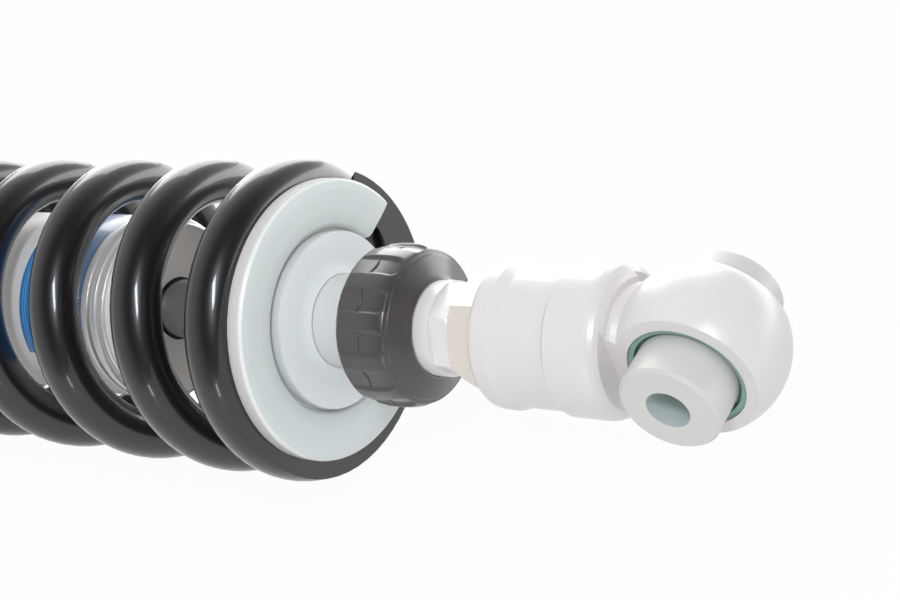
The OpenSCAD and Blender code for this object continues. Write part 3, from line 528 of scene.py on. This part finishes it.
def spring_section(turn, sizes, sides):
    """Points of one section of the wire, flat where it passes either ground face."""
    radius, coil = sizes.wire / 2, sizes.coil / 2
    height = spring_height(turn, sizes)
    step = 1e-3
    slope = (spring_height(turn + step, sizes) - height) / (step * FULL_TURN * coil)
    reach = radius * math.hypot(1, slope)
    length = SPRING_HIGH_X - SPRING_LOW_X
    side = math.pi / 2 - math.pi / sides
    below, above = -height / reach, (length - height) / reach
    start = max(-side, math.asin(min(below, DEEPEST_CUT)) if below > -1 else -math.pi / 2)
    end = min(side, math.asin(max(above, -DEEPEST_CUT)) if above < 1 else math.pi / 2)
    half = sides // 2
    angle = sizes.tip_angle - FULL_TURN * turn
    points = []
    for k in range(sides):
        outer = k < half
        j = k if outer else sides - 1 - k
        t = start + (end - start) * j / (half - 1)
        r = coil + (1 if outer else -1) * radius * math.cos(t)
        points.append((SPRING_HIGH_X - height - reach * math.sin(t),
                       r * math.cos(angle), r * math.sin(angle)))
    return points


def spring_mesh(sizes, per_turn=64, sides=28):
    """The whole wound wire as one closed tube."""
    turns = sizes.working_turns + 2
    rings = round(turns * per_turn)
    vertices = []
    for i in range(rings + 1):
        vertices += spring_section(turns * i / rings, sizes, sides)
    return new_piece("coil", vertices, capped_faces(rings, sides), 50.0)


def powder_coat(colours):
    """Gloss black powder coat with its slight ripple."""
    finish = Finish("spring powder coat", tuple(colours.spring), 0.32, Coat_Weight=0.6,
                    Coat_Roughness=0.06)
    grain = finish.group(fine_grain(), Size=1.6, Drift=14.0)
    finish.bump(grain["Height"], 0.006)
    finish.roughen(grain["Tone"], 0.31, 0.33)
    return finish


class SHOCK_OT_spring(bpy.types.Operator):
    """Winds the coil spring, ground flat at both ends"""

    bl_idname = "shock.spring"
    bl_label = "Coil spring"

    def execute(self, context):
        sizes, colours = context.scene.shock_sizes, context.scene.shock_colours
        coil = spring_mesh(sizes)
        finish_piece(coil, "damper_body", "spring_black", powder_coat(colours), "coil_spring")
        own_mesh(coil)
        return {"FINISHED"}


# Share of the bump stop's length, and how far its side lies in from its widest, in millimetres
BUMP_STOP_SIDE = ((0.0, 4.4), (0.04, 3.6), (0.16, 3.4), (0.22, 3.0), (0.3, 1.2), (0.38, 0.7),
                  (0.48, 0.45), (0.54, 1.1), (0.6, 2.2), (0.66, 1.1), (0.72, 0.1), (0.8, 0.0),
                  (0.96, 0.0), (1.0, 0.7))


class SHOCK_OT_bump_stop(bpy.types.Operator):
    """Turns the foam bump stop on the rod"""

    bl_idname = "shock.bump_stop"
    bl_label = "Bump stop"

    crush: length_value("Crush", "How far the bump stop shortens at full travel", 14.2)

    def execute(self, context):
        start, end = low("bump_stop").x, high("bump_stop").x
        outer = high("bump_stop").z
        bore = high("piston_rod").z + 0.15 * MM
        length = end - start
        side = [(start + share * length, outer - inward * MM)
                for share, inward in BUMP_STOP_SIDE]
        foam = turned("bump_stop_foam", [(start, bore), *side, (end, bore)], 96, 60.0)
        rubber = moulded("bump stop foam", srgb(48, 47, 44), 0.75, 0.35, 0.03)
        finish_piece(foam, "rod_assembly", "black_rubber", rubber, "bump_stop")
        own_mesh(foam)
        return {"FINISHED"}


# Body tube

TUBE_WALL = 2.5 * MM
THREAD_START = 0.6 * MM
THREAD_RUN_OUT = 1.2 * MM
THREAD_FLANK = 0.34  # of the pitch, on either side of a groove
MOUTH_EDGE = 0.8 * MM
GROOVE_WIDTH, GROOVE_DEPTH = 2.2 * MM, 0.5 * MM
GROOVES_FROM_MOUTH = (5.3 * MM, 2.1 * MM)
CLIP_GROOVE = (4 * MM, 2.4 * MM)  # from the mouth
BAND_START, BAND_END = 167.3, 193.0  # millimetres along the axis
BAND_LINES = (1.3, 2.3)  # millimetres in from either edge
BAND_LINE_WIDTH = 0.35
BAND_SIDE = 0.14  # of the tube's radius, the height at which the band ends


def thread_radius(x, angle, sizes):
    """Outer radius of the body tube, with its helical thread near the end cap."""
    start = TUBE_LOW_X + THREAD_START
    end = start + sizes.thread_length
    if not start < x < end:
        return TUBE_R
    fade = min(1.0, (x - start) / sizes.thread_pitch, (end - x) / sizes.thread_pitch)
    phase = (x / sizes.thread_pitch - angle / FULL_TURN) % 1.0
    if phase < THREAD_FLANK:
        cut = phase / THREAD_FLANK
    elif phase < 0.5:
        cut = 1.0
    elif phase < 0.5 + THREAD_FLANK:
        cut = 1 - (phase - 0.5) / THREAD_FLANK
    else:
        cut = 0.0
    return TUBE_R - sizes.thread_depth * cut * fade


def body_tube_mesh(sizes):
    """Tube with its thread, polished grooves, rounded mouth and bore."""
    bore = TUBE_R - TUBE_WALL
    step = sizes.thread_pitch / 8
    rows = math.ceil((sizes.thread_length + THREAD_RUN_OUT) / step)
    threaded = [TUBE_LOW_X + step * i for i in range(rows)]
    outer = [(x, lambda angle, x=x: thread_radius(x, angle, sizes)) for x in threaded]
    curve = (GROOVE_WIDTH ** 2 / 4 + GROOVE_DEPTH ** 2) / (2 * GROOVE_DEPTH)
    sweep = math.degrees(math.asin(GROOVE_WIDTH / 2 / curve))
    for from_mouth in GROOVES_FROM_MOUTH:
        outer += arc(TUBE_HIGH_X - from_mouth, TUBE_R - GROOVE_DEPTH + curve, curve,
                     270 - sweep, 270 + sweep, 10)
    outer += arc(TUBE_HIGH_X - MOUTH_EDGE, TUBE_R - MOUTH_EDGE, MOUTH_EDGE, 90, 0, 4)
    clip_low, clip_high = (TUBE_HIGH_X - back for back in CLIP_GROOVE)
    inner = [(TUBE_HIGH_X, bore), (clip_high, bore), (clip_high, bore + MM),
             (clip_low, bore + MM), (clip_low, bore), (TUBE_LOW_X, bore)]
    return turned("tube", outer + inner, 120, 32.0)


def banded_tube(colours):
    """Satin silver tube with a plain painted band and pale lines near either edge of it."""
    satin, bare = 0.08, 0.5
    finish = machined("body tube", srgb(240, 238, 236), 0.35, 0.3, 0.003, metallic=satin)
    n = finish.n
    place = n.place()
    x = place["X"]
    on_top = n.math("GREATER_THAN", n.math("DIVIDE", place["Z"], TUBE_R), BAND_SIDE)

    def inside(start, end):
        """Mask of the tube's upper side between two places in millimetres."""
        within = n.math("MULTIPLY", n.math("GREATER_THAN", x, start * MM),
                        n.math("LESS_THAN", x, end * MM))
        return n.math("MULTIPLY", within, on_top)

    band = inside(BAND_START, BAND_END)
    finish.tint(band, tuple(colours.band))
    for inward in BAND_LINES:
        for start in (BAND_START + inward, BAND_END - inward - BAND_LINE_WIDTH):
            finish.tint(inside(start, start + BAND_LINE_WIDTH), srgb(120, 172, 224))
    shine = n.spread(x, (BAND_END + 0.5) * MM, (BAND_END + 1) * MM, satin, bare)
    finish.feed("Metallic", n.math("MULTIPLY", shine, n.math("SUBTRACT", 1.0, band)))
    finish.feed("Coat Weight", n.math("MULTIPLY", band, 0.4))
    return finish


class SHOCK_OT_body_tube(bpy.types.Operator):
    """Turns and threads the body tube, with its dust cap and wiper"""

    bl_idname = "shock.body_tube"
    bl_label = "Body tube"

    def execute(self, context):
        sizes, colours = context.scene.shock_sizes, context.scene.shock_colours
        tube = body_tube_mesh(sizes)
        finish_piece(tube, "damper_body", "tube_aluminium", banded_tube(colours), "body_tube")
        dress("dust_cap", machined("dust cap", srgb(240, 234, 229), 0.42, 0.35, 0.006,
                                   metallic=0.15))
        dress("wiper_seal", moulded("wiper rubber", srgb(30, 30, 31), 0.55))
        return {"FINISHED"}


# Knob

# The grip, in millimetres: lengths back from its front face, and radii
MOUTH_R, GRIP_BORE_R = 11.9, 15.5
MOUTH_BACK, HEEL_BACK = 5.4, 17.8
CONE_START, CONE_LENGTH, CONE_RISE = (0.2, 12.1), 2.5, 5.35
LIP = ((2.83, 17.72), (2.97, 17.86), (3.12, 17.9), (3.22, 17.86), (3.3, 17.95))
CROWN_START, CROWN_LENGTH = 3, 7.5
CROWN_FOOT_R, CROWN_RISE = 17.8, 2.4
CROWN_R = 20.2
BARREL_START, BARREL_STEP, BARREL_END = 3.36, 0.28, 16.2
TAPER_START, TAPER_SLOPE = 12.8, 0.4 / 3.5
HEEL_START, HEEL_LENGTH, HEEL_DROP = (16.3, 19.8), 1.5, 1.1
POCKET_START, POCKET_WALL = 3.6, 0.55


def crown_radius(back):
    """Radius of the grip's round crown."""
    share = min(1.0, max(0.0, back - CROWN_START) / CROWN_LENGTH)
    return CROWN_FOOT_R + CROWN_RISE * math.sin(math.pi / 2 * math.sqrt(share))


def grip_outline():
    """Outside and inside of the grip's outline."""
    back, radius = CONE_START
    cone = [(back + CONE_LENGTH * i / 6, radius + CONE_RISE * i / 6) for i in range(7)]
    backs = [BARREL_START + BARREL_STEP * i for i in range(46)]
    crown = [(back, crown_radius(back)) for back in backs
             if back < CROWN_START + CROWN_LENGTH]
    barrel = [(back, CROWN_R - TAPER_SLOPE * max(0.0, back - TAPER_START)) for back in backs
              if CROWN_START + CROWN_LENGTH <= back < BARREL_END]
    back, radius = HEEL_START
    heel = [(back + HEEL_LENGTH * i / 5, radius - HEEL_DROP * (i / 5) ** 1.5) for i in range(6)]
    inside = [(HEEL_BACK, GRIP_BORE_R), (MOUTH_BACK, GRIP_BORE_R), (MOUTH_BACK, MOUTH_R)]
    return [(0.0, MOUTH_R), *cone, *LIP, *crown, *barrel, *heel], inside


def knob_mesh(pockets, width, deep, corner, sides=34):
    """Rubber grip with its round-cornered finger pockets, sizes in metres."""
    width, deep, corner = width / MM, deep / MM, corner / MM
    every = FULL_TURN / pockets

    def pocketed(back, full):
        """Radius in metres at an angle: the full one, or a pocket's floor."""
        def radius(angle):
            """Radius at one angle."""
            off = (angle + every / 2) % every - every / 2
            over = abs(CROWN_R * math.sin(off)) - (width / 2 - corner)
            ahead = POCKET_START + corner - back
            inward = (corner - math.hypot(max(over, 0.0), max(ahead, 0.0))
                      - min(max(over, ahead), 0.0))
            sunk = smooth_step(inward, 0.0, POCKET_WALL)
            bottom = (crown_radius(back) - deep) / math.cos(off)
            return min(full, full * (1 - sunk) + bottom * sunk) * MM
        return radius

    outside, inside = grip_outline()
    outline = [(KNOB_HIGH_X - back * MM, pocketed(back, full) if back > POCKET_START
                else full * MM) for back, full in outside]
    outline += [(KNOB_HIGH_X - back * MM, full * MM) for back, full in inside]
    return turned("knob_grip", outline, pockets * sides, 62.0)


def knob_mark(turn, sides=8, steps=24):
    """Points and faces of one curved moulding line across a finger pocket."""
    middle, floor_r = KNOB_LOW_X + 6.6 * MM, KNOB_R - 0.75 * MM
    thick, width, bow = 0.36 * MM, 5.9 * MM, 0.9 * MM
    spin = Matrix.Rotation(turn, 4, "X")
    vertices = []
    for i in range(steps + 1):
        t = 2 * i / steps - 1
        x = middle + bow * (1 - t * t) - bow / 2
        size = thick * math.sqrt(max(0.05, 1 - t * t * 0.9))
        for k in range(sides):
            angle = FULL_TURN * k / sides
            vertices.append(spin @ Vector((x + size * math.cos(angle), t * width / 2,
                                           floor_r + size * math.sin(angle))))
    return vertices, capped_faces(steps, sides)


class SHOCK_OT_knob(bpy.types.Operator):
    """Moulds the rubber knob with its pockets and their lines, and finishes its core"""

    bl_idname = "shock.knob"
    bl_label = "Rebound knob"

    pockets: bpy.props.IntProperty(name="Pockets", description="Finger pockets round the knob",
                                   default=12, min=6, max=16)
    pocket_width: length_value("Pocket width", "Width of a finger pocket", 6.4)
    pocket_depth: length_value("Pocket depth", "Depth of a finger pocket", 1)
    pocket_corner: length_value("Pocket corner", "Radius of a pocket's front corners", 2)

    def execute(self, context):
        colours = context.scene.shock_colours
        rubber = moulded("knob rubber", tuple(colours.knob), 0.35, 0.5, 0.008, Coat_Weight=0.5,
                         Coat_Roughness=0.2)
        # Painted highlight: a lighter grey along the convex edges of the pockets and ribs.
        edge_highlight_and_wear(rubber, 0.5, 0.9, srgb(150, 144, 146))
        grip = knob_mesh(self.pockets, self.pocket_width, self.pocket_depth, self.pocket_corner)
        finish_piece(grip, "rebound_knob", "knob_rubber", rubber, "adjuster_knob")
        vertices, faces = [], []
        for i in range(self.pockets):
            points, corners = knob_mark(FULL_TURN * i / self.pockets)
            faces += [tuple(len(vertices) + c for c in corner) for corner in corners]
            vertices += points
        marks = new_piece("knob_marks", vertices, faces, 60.0)
        finish_piece(marks, "rebound_knob", "knob_rubber", rubber)
        dress("knob_core", machined("knob core", srgb(186, 188, 192), 0.35))
        steel = machined("detent steel", srgb(200, 202, 206), 0.2)
        dress("detent_ball", steel)
        dress("detent_spring", steel)
        return {"FINISHED"}


# Retainer, cup and coupler

EDGE_FADE = 0.04 * MM
RECESS_GAP = 0.6 * MM
# Where the painted highlight line and the painted shade of the outer side start:
RETAINER_HIGHLIGHT_IN, RETAINER_SIDE_SHADE_IN = 0.42 * MM, 0.3 * MM  # in from its outer edge
# In from the cup's outer edge, where its painted side shade starts
CUP_SIDE_SHADE_IN = 0.24 * MM


def satin_paint(name, colour):
    """Sprayed satin paint with its fine grain."""
    paint = Finish(name, tuple(colour), 0.5, Coat_Weight=0.15, Coat_Roughness=0.3)
    grain = paint.group(fine_grain(), Size=0.35, Drift=12.0)
    paint.bump(grain["Height"], 0.012)
    paint.roughen(grain["Tone"], 0.44, 0.58)
    return paint


def tint_beyond(paint, radius, colour, fade=EDGE_FADE):
    """Another colour outside a radius from the shock's axis."""
    out = paint.n.from_axis()
    paint.tint(paint.n.spread(out, radius, radius + fade, 0.0, 1.0), colour)


def retainer_paint(colours, roll):
    """Paint with painted shade round the recess and on the outer side, and a painted highlight
    line along the outer edge.
    """
    paint = satin_paint("retainer paint", colours.retainer)
    rim = high("spring_cup").z + RECESS_GAP
    edge = -low("spring_retainer").z
    # Painted shade: darker paint round the recess, fading out over the given width.
    recess_shade = paint.n.spread(paint.n.from_axis(), rim, rim + roll, 0.22, 0.0)
    paint.tint(recess_shade, srgb(130, 134, 132))
    # Painted highlight: a thin bright line along the outer edge's chamfer.
    tint_beyond(paint, edge - RETAINER_HIGHLIGHT_IN, srgb(238, 239, 239))
    # Painted shade: a darker, warmer tone on the outer side.
    tint_beyond(paint, edge - RETAINER_SIDE_SHADE_IN, srgb(214, 212, 210), 0.06 * MM)
    return paint


def cup_paint(colours, sleeve):
    """Paint with painted shade on the flange's side and along the sleeve."""
    paint = satin_paint("cup paint", colours.cup)
    # Painted shade: the cup's side a little darker.
    tint_beyond(paint, high("spring_cup").z - CUP_SIDE_SHADE_IN, srgb(208, 212, 211))
    # Painted shade: the sleeve, inside the given radius, a little darker.
    paint.tint(paint.n.math("LESS_THAN", paint.n.from_axis(), sleeve), srgb(212, 214, 213))
    return paint


class SHOCK_OT_retainer(bpy.types.Operator):
    """Paints the slotted retainer, the cup and its sleeve"""

    bl_idname = "shock.retainer"
    bl_label = "Retainer and cup"

    # The duller paint round the recess is painted shade.
    roll: length_value("Roll", "Width of the duller paint round the retainer's recess", 5)
    # The duller sleeve is painted shade.
    sleeve: length_value("Sleeve", "Radius of the cup's duller sleeve", 12)

    def execute(self, context):
        colours = context.scene.shock_colours
        for node, paint in (("spring_retainer", retainer_paint(colours, self.roll)),
                            ("spring_cup", cup_paint(colours, self.sleeve))):
            # Painted highlight: near-white along the convex edges of the retainer and cup.
            edge_highlight_and_wear(paint, 0.35, 0.06, srgb(236, 238, 238))
            dress(node, paint)
        return {"FINISHED"}


class SHOCK_OT_coupler(bpy.types.Operator):
    """Finishes the bright coupler, the jam nut and the rod"""

    bl_idname = "shock.coupler"
    bl_label = "Coupler, nut and rod"

    def execute(self, context):
        dress("shaft_coupler", machined("coupler", srgb(237, 235, 234), 0.35, 0.22, 0.003,
                                        metallic=0.3))
        dress("jam_nut", machined("jam nut", srgb(229, 220, 210), 0.35, 0.3, 0.004, metallic=0.35))
        dress("piston_rod", machined("hard chrome rod", srgb(164, 166, 169), 0.2, 0.12, 0.001))
        return {"FINISHED"}


# Eyes

STEP_SHADE_WIDTH = 0.28 * MM
BOLT_EDGE = (0.05 * MM, 0.1 * MM)  # past the bolt bore, where its polish ends


def eye_finish(name, colour):
    """Blasted and anodised aluminium."""
    finish = Finish(name, colour, 0.32, 0.05, Specular_IOR_Level=0.3)
    grain = finish.group(fine_grain(), Size=0.3, Drift=16.0)
    finish.bump(grain["Height"], 0.006)
    finish.roughen(grain["Tone"], 0.31, 0.33)
    # Painted highlight: white along the convex edges of the body.
    edge_highlight_and_wear(finish, 0.4, 0.12, srgb(250, 250, 250))
    return finish


def step_shade_line(finish, at, colour):
    """Painted shade: a thin dark line round the shock's axis, in the corner of a turned step."""
    n = finish.n
    away = n.math("ABSOLUTE", n.math("SUBTRACT", n.place()["X"], at))
    finish.tint(n.spread(away, 0.0, STEP_SHADE_WIDTH, 0.95, 0.0), colour)


def collar_finish(name, colour, centre):
    """Satin collar, turned round the eye's bore and polished inside its bolt hole."""
    satin, polished = 0.12, 0.25
    finish = machined(name, colour, 0.45, 0.35, 0.005, centre, satin)
    n = finish.n
    place = n.place()
    out = n.length(n.math("SUBTRACT", place["X"], centre), place["Z"])
    bore = n.spread(out, BOLT_R + BOLT_EDGE[0], BOLT_R + BOLT_EDGE[1], 1.0, 0.0)
    finish.tint(bore, srgb(212, 221, 221))
    finish.feed("Metallic", n.spread(bore, 0.0, 1.0, satin, polished))
    rough = finish.shader.inputs["Roughness"].links[0].from_socket
    finish.feed("Roughness", n.math("MULTIPLY", rough, n.spread(bore, 0.0, 1.0, 1.0, 0.5)))
    return finish


class SHOCK_OT_eyes(bpy.types.Operator):
    """Finishes both eyes with their bearings, seals and collars"""

    bl_idname = "shock.eyes"
    bl_label = "Eyes and bearings"

    step_back: length_value("Step", "Distance from the rod-end eye to the step behind its flange",
                            30.4)

    def execute(self, context):
        colours = context.scene.shock_colours
        body = eye_finish("rod-end body", tuple(colours.eye))
        # Painted shade in the corner of the step behind the flange.
        step_shade_line(body, ROD_EYE_X - self.step_back, srgb(112, 104, 99))
        dress("rod_end_eye", body)
        dress("end_cap", eye_finish("end cap", srgb(206, 208, 210)))
        clip = moulded("phosphated clip", srgb(72, 72, 74), 0.5)
        seal = moulded("seal rubber", tuple(colours.seal), 0.5)
        for end, centre in (("rod_end", ROD_EYE_X), ("body_end", 0.0)):
            steel = machined(end + " bearing steel", srgb(206, 208, 212), 0.16, 0.2, 0.002,
                             centre)
            collar = collar_finish(end + " collar", tuple(colours.collar), centre)
            for piece in ("race", "ball"):
                dress(f"{end}_{piece}", steel)
            for piece in ("collar_near", "collar_far"):
                dress(f"{end}_{piece}", collar)
            dress(end + "_seals", seal)
            dress(end + "_circlips", clip)
        return {"FINISHED"}


# Damper's inner pieces

class SHOCK_OT_damper(bpy.types.Operator):
    """Finishes the pieces inside the damper"""

    bl_idname = "shock.damper"
    bl_label = "Inside the damper"

    def execute(self, context):
        rubber = moulded("seal ring rubber", srgb(34, 34, 35), 0.55)
        alloy = machined("inner alloy", srgb(196, 198, 202), 0.35)
        sintered = moulded("sintered piston", srgb(168, 160, 146), 0.5, 0.25, 0.02,
                           metallic=0.8)
        band = moulded("bearing band", srgb(206, 202, 188), 0.5)
        steel = machined("plain steel", srgb(190, 192, 196), 0.35)
        blued = machined("blued shim steel", srgb(118, 122, 138), 0.35)
        bronze = machined("bronze bush", srgb(150, 124, 84), 0.35)
        blue = moulded("rod seal", srgb(58, 96, 160), 0.5)
        clip = moulded("clip steel", srgb(72, 72, 74), 0.5)
        for finish, nodes in (
                (rubber, ("end_cap_o_ring", "seal_head_o_ring", "floating_o_ring",
                          "top_out_bumper")),
                (alloy, ("seal_head", "metering_rod")),
                (sintered, ("piston", "floating_piston")),
                (band, ("piston_band", "floating_band")),
                (steel, ("stop_washer", "piston_nut", "drive_pin")),
                (blued, ("rebound_shims", "compression_shims")),
                (bronze, ("rod_bush",)), (blue, ("rod_seal",)), (clip, ("seal_head_circlip",))):
            for node in nodes:
                dress(node, finish)
        return {"FINISHED"}


class SHOCK_OT_preload(bpy.types.Operator):
    """Finishes the upper seat, the preload rings and the gas valve"""

    bl_idname = "shock.preload"
    bl_label = "Preload rings and valve"

    def execute(self, context):
        silver = machined("anodised ring", srgb(212, 216, 216), 0.36, 0.35, 0.006)
        black = machined("black anodised ring", srgb(52, 52, 56), 0.36, 0.35, 0.006,
                         metallic=0.6)
        dress("spring_seat", silver)
        dress("preload_ring", silver)
        dress("lock_ring", black)
        dress("thrust_washer", moulded("thrust washer", srgb(224, 220, 204), 0.45))
        dress("gas_valve", machined("valve brass", srgb(214, 186, 124), 0.35, 0.2, 0.004))
        dress("valve_cap", moulded("valve cap", srgb(38, 38, 40), 0.45))
        return {"FINISHED"}


# Stage

CAMERA_AT = (0.52096, -0.21444, 0.21607)
CAMERA_RIGHT = (0.8035, 0.4688, -0.3669)
CAMERA_UP = (-0.0491, 0.6665, 0.7439)
CAMERA_BACK = (0.5933, -0.5797, 0.5586)
CAMERA_LENS = 62.62
FLOOR_REACH = 6.0
FLOOR_PAPER, FLOOR_WHITE = 0.8, 0.96  # its tone, and the share of white that is seen
DARK_WAY = (0.75, -0.3, 0.6)  # where gloss sees no white wall
DARK_START, DARK_FULL = 0.15, 0.75
WHITE = (1.0, 1.0, 1.0)
COOL = (0.88, 0.94, 1.0)
MIDDLE = (0.25, 0.0, 0.0)
# Name, place, target, width, height, tint, and the rays that don't see it
LAMPS = (
    ("key", (0.71, -0.49, 0.87), MIDDLE, 0.2, 0.2, COOL, "visible_glossy"),
    ("flash", (0.605, -0.19, 0.325), (0.3, -0.01, 0.02), 0.07, 0.17, COOL, "visible_diffuse"),
    ("low", (0.40, -0.29, -0.015), MIDDLE, 0.04, 0.04, WHITE, "visible_diffuse"),
    ("back", (-0.45, 1.3, 0.45), MIDDLE, 1.4, 1.2, WHITE, "visible_diffuse"),
    ("sheen", (0.1, 0.6, FLOOR_Z + MM), (0.1, 0.6, 1.0), 1.6, 0.9, WHITE, "visible_diffuse"))


def make_camera():
    """Camera that looks down on the rod end, from its near side."""
    data = bpy.data.cameras.new("camera")
    data.lens = CAMERA_LENS
    data.sensor_width = 36.0
    data.clip_start = 0.01
    camera = bpy.data.objects.new("camera", data)
    axes = Matrix((CAMERA_RIGHT, CAMERA_UP, CAMERA_BACK)).transposed()
    camera.matrix_world = Matrix.Translation(CAMERA_AT) @ axes.to_4x4()
    bpy.context.scene.collection.objects.link(camera)
    bpy.context.scene.camera = camera


def make_floor():
    """Plain white floor that shows white to the camera and keeps a faint shadow."""
    reach = FLOOR_REACH
    corners = [(-reach, -reach, FLOOR_Z), (reach, -reach, FLOOR_Z), (reach, reach, FLOOR_Z),
               (-reach, reach, FLOOR_Z)]
    floor = new_piece("floor", corners, [(0, 1, 2, 3)])
    material = bpy.data.materials.new("floor")
    n = bare_nodes(material)
    path = n.add("ShaderNodeLightPath").outputs
    seen = n.math("ADD", n.math("ADD", path["Is Camera Ray"], path["Is Glossy Ray"]),
                  path["Is Transmission Ray"], clamp=True)
    paper = n.add("ShaderNodeBsdfDiffuse", Color=(FLOOR_PAPER, FLOOR_PAPER, FLOOR_PAPER, 1.0))
    white = n.add("ShaderNodeEmission", Strength=1.0)
    share = n.mix_shaders(n.math("MULTIPLY", seen, FLOOR_WHITE), paper, white)
    n.add("ShaderNodeOutputMaterial", Surface=share.outputs[0])
    floor.data.materials.append(material)


def make_sky(strength, room):
    """Soft light all round: white where it is seen, and darker in gloss over the camera, where
    the room has no white wall."""
    world = bpy.data.worlds.new("studio")
    bpy.context.scene.world = world
    n = bare_nodes(world)
    path = n.add("ShaderNodeLightPath").outputs
    way = n.dot(n.add("ShaderNodeTexCoord").outputs["Generated"], DARK_WAY)
    shown = n.spread(way, DARK_START, DARK_FULL, 1.0, room)
    light = n.add("ShaderNodeBackground", Strength=strength)
    gloss = n.add("ShaderNodeBackground", Strength=shown)
    white = n.add("ShaderNodeBackground", Color=(*WHITE, 1.0), Strength=1.0)
    lit = n.mix_shaders(path["Is Glossy Ray"], light, gloss)
    seen = n.math("ADD", path["Is Camera Ray"], path["Is Transmission Ray"], clamp=True)
    n.add("ShaderNodeOutputWorld", Surface=n.mix_shaders(seen, lit, white).outputs[0])


def make_softbox(name, place, target, width, height, tint, power):
    """Rectangular area lamp that faces a point and that the camera doesn't see."""
    data = bpy.data.lights.new(name, "AREA")
    data.shape = "RECTANGLE"
    data.size = width
    data.size_y = height
    data.energy = power
    data.color = tint
    lamp = bpy.data.objects.new(name, data)
    lamp.visible_camera = False
    lamp.location = place
    away = Vector(place) - Vector(target)
    lamp.rotation_euler = away.to_track_quat("Z", "Y").to_euler()
    bpy.context.scene.collection.objects.link(lamp)
    return lamp


class SHOCK_OT_stage(bpy.types.Operator):
    """Sets the camera, the floor and the studio light"""

    bl_idname = "shock.stage"
    bl_label = "Camera, floor and light"

    def execute(self, context):
        studio = context.scene.shock_studio
        make_camera()
        make_floor()
        make_sky(studio.sky, studio.room)
        for name, *box, unseen_by in LAMPS:
            lamp = make_softbox(name, *box, getattr(studio, name))
            setattr(lamp, unseen_by, False)
        context.scene.view_settings.view_transform = "Standard"
        return {"FINISHED"}


PIECE_OPERATORS = (SHOCK_OT_spring, SHOCK_OT_bump_stop, SHOCK_OT_body_tube, SHOCK_OT_knob,
                   SHOCK_OT_retainer, SHOCK_OT_coupler, SHOCK_OT_eyes, SHOCK_OT_damper,
                   SHOCK_OT_preload, SHOCK_OT_stage)


class SHOCK_PT_panel(bpy.types.Panel):
    """Lists the operators of the shock absorber"""

    bl_idname = "SHOCK_PT_panel"
    bl_label = "Rear shock absorber"
    bl_space_type = "VIEW_3D"
    bl_region_type = "UI"
    bl_category = "Shock"

    def draw(self, context):
        for operator in PIECE_OPERATORS:
            self.layout.operator(operator.bl_idname)
        for group in (context.scene.shock_sizes, context.scene.shock_colours,
                      context.scene.shock_studio):
            box = self.layout.box()
            for name in group.__annotations__:
                box.prop(group, name)


CLASSES = (ShockSizes, ShockColours, ShockStudio, *PIECE_OPERATORS, SHOCK_PT_panel)


def register():
    """Registers the classes and the scene's settings."""
    for item in CLASSES:
        bpy.utils.register_class(item)
    bpy.types.Scene.shock_sizes = bpy.props.PointerProperty(type=ShockSizes)
    bpy.types.Scene.shock_colours = bpy.props.PointerProperty(type=ShockColours)
    bpy.types.Scene.shock_studio = bpy.props.PointerProperty(type=ShockStudio)


def unregister():
    """Takes them away again."""
    for name in ("shock_sizes", "shock_colours", "shock_studio"):
        delattr(bpy.types.Scene, name)
    for item in reversed(CLASSES):
        bpy.utils.unregister_class(item)


def main():
    """Builds every piece and the stage."""
    register()
    for operator in PIECE_OPERATORS:
        family, name = operator.bl_idname.split(".")
        getattr(getattr(bpy.ops, family), name)()


if __name__ == "__main__":
    main()
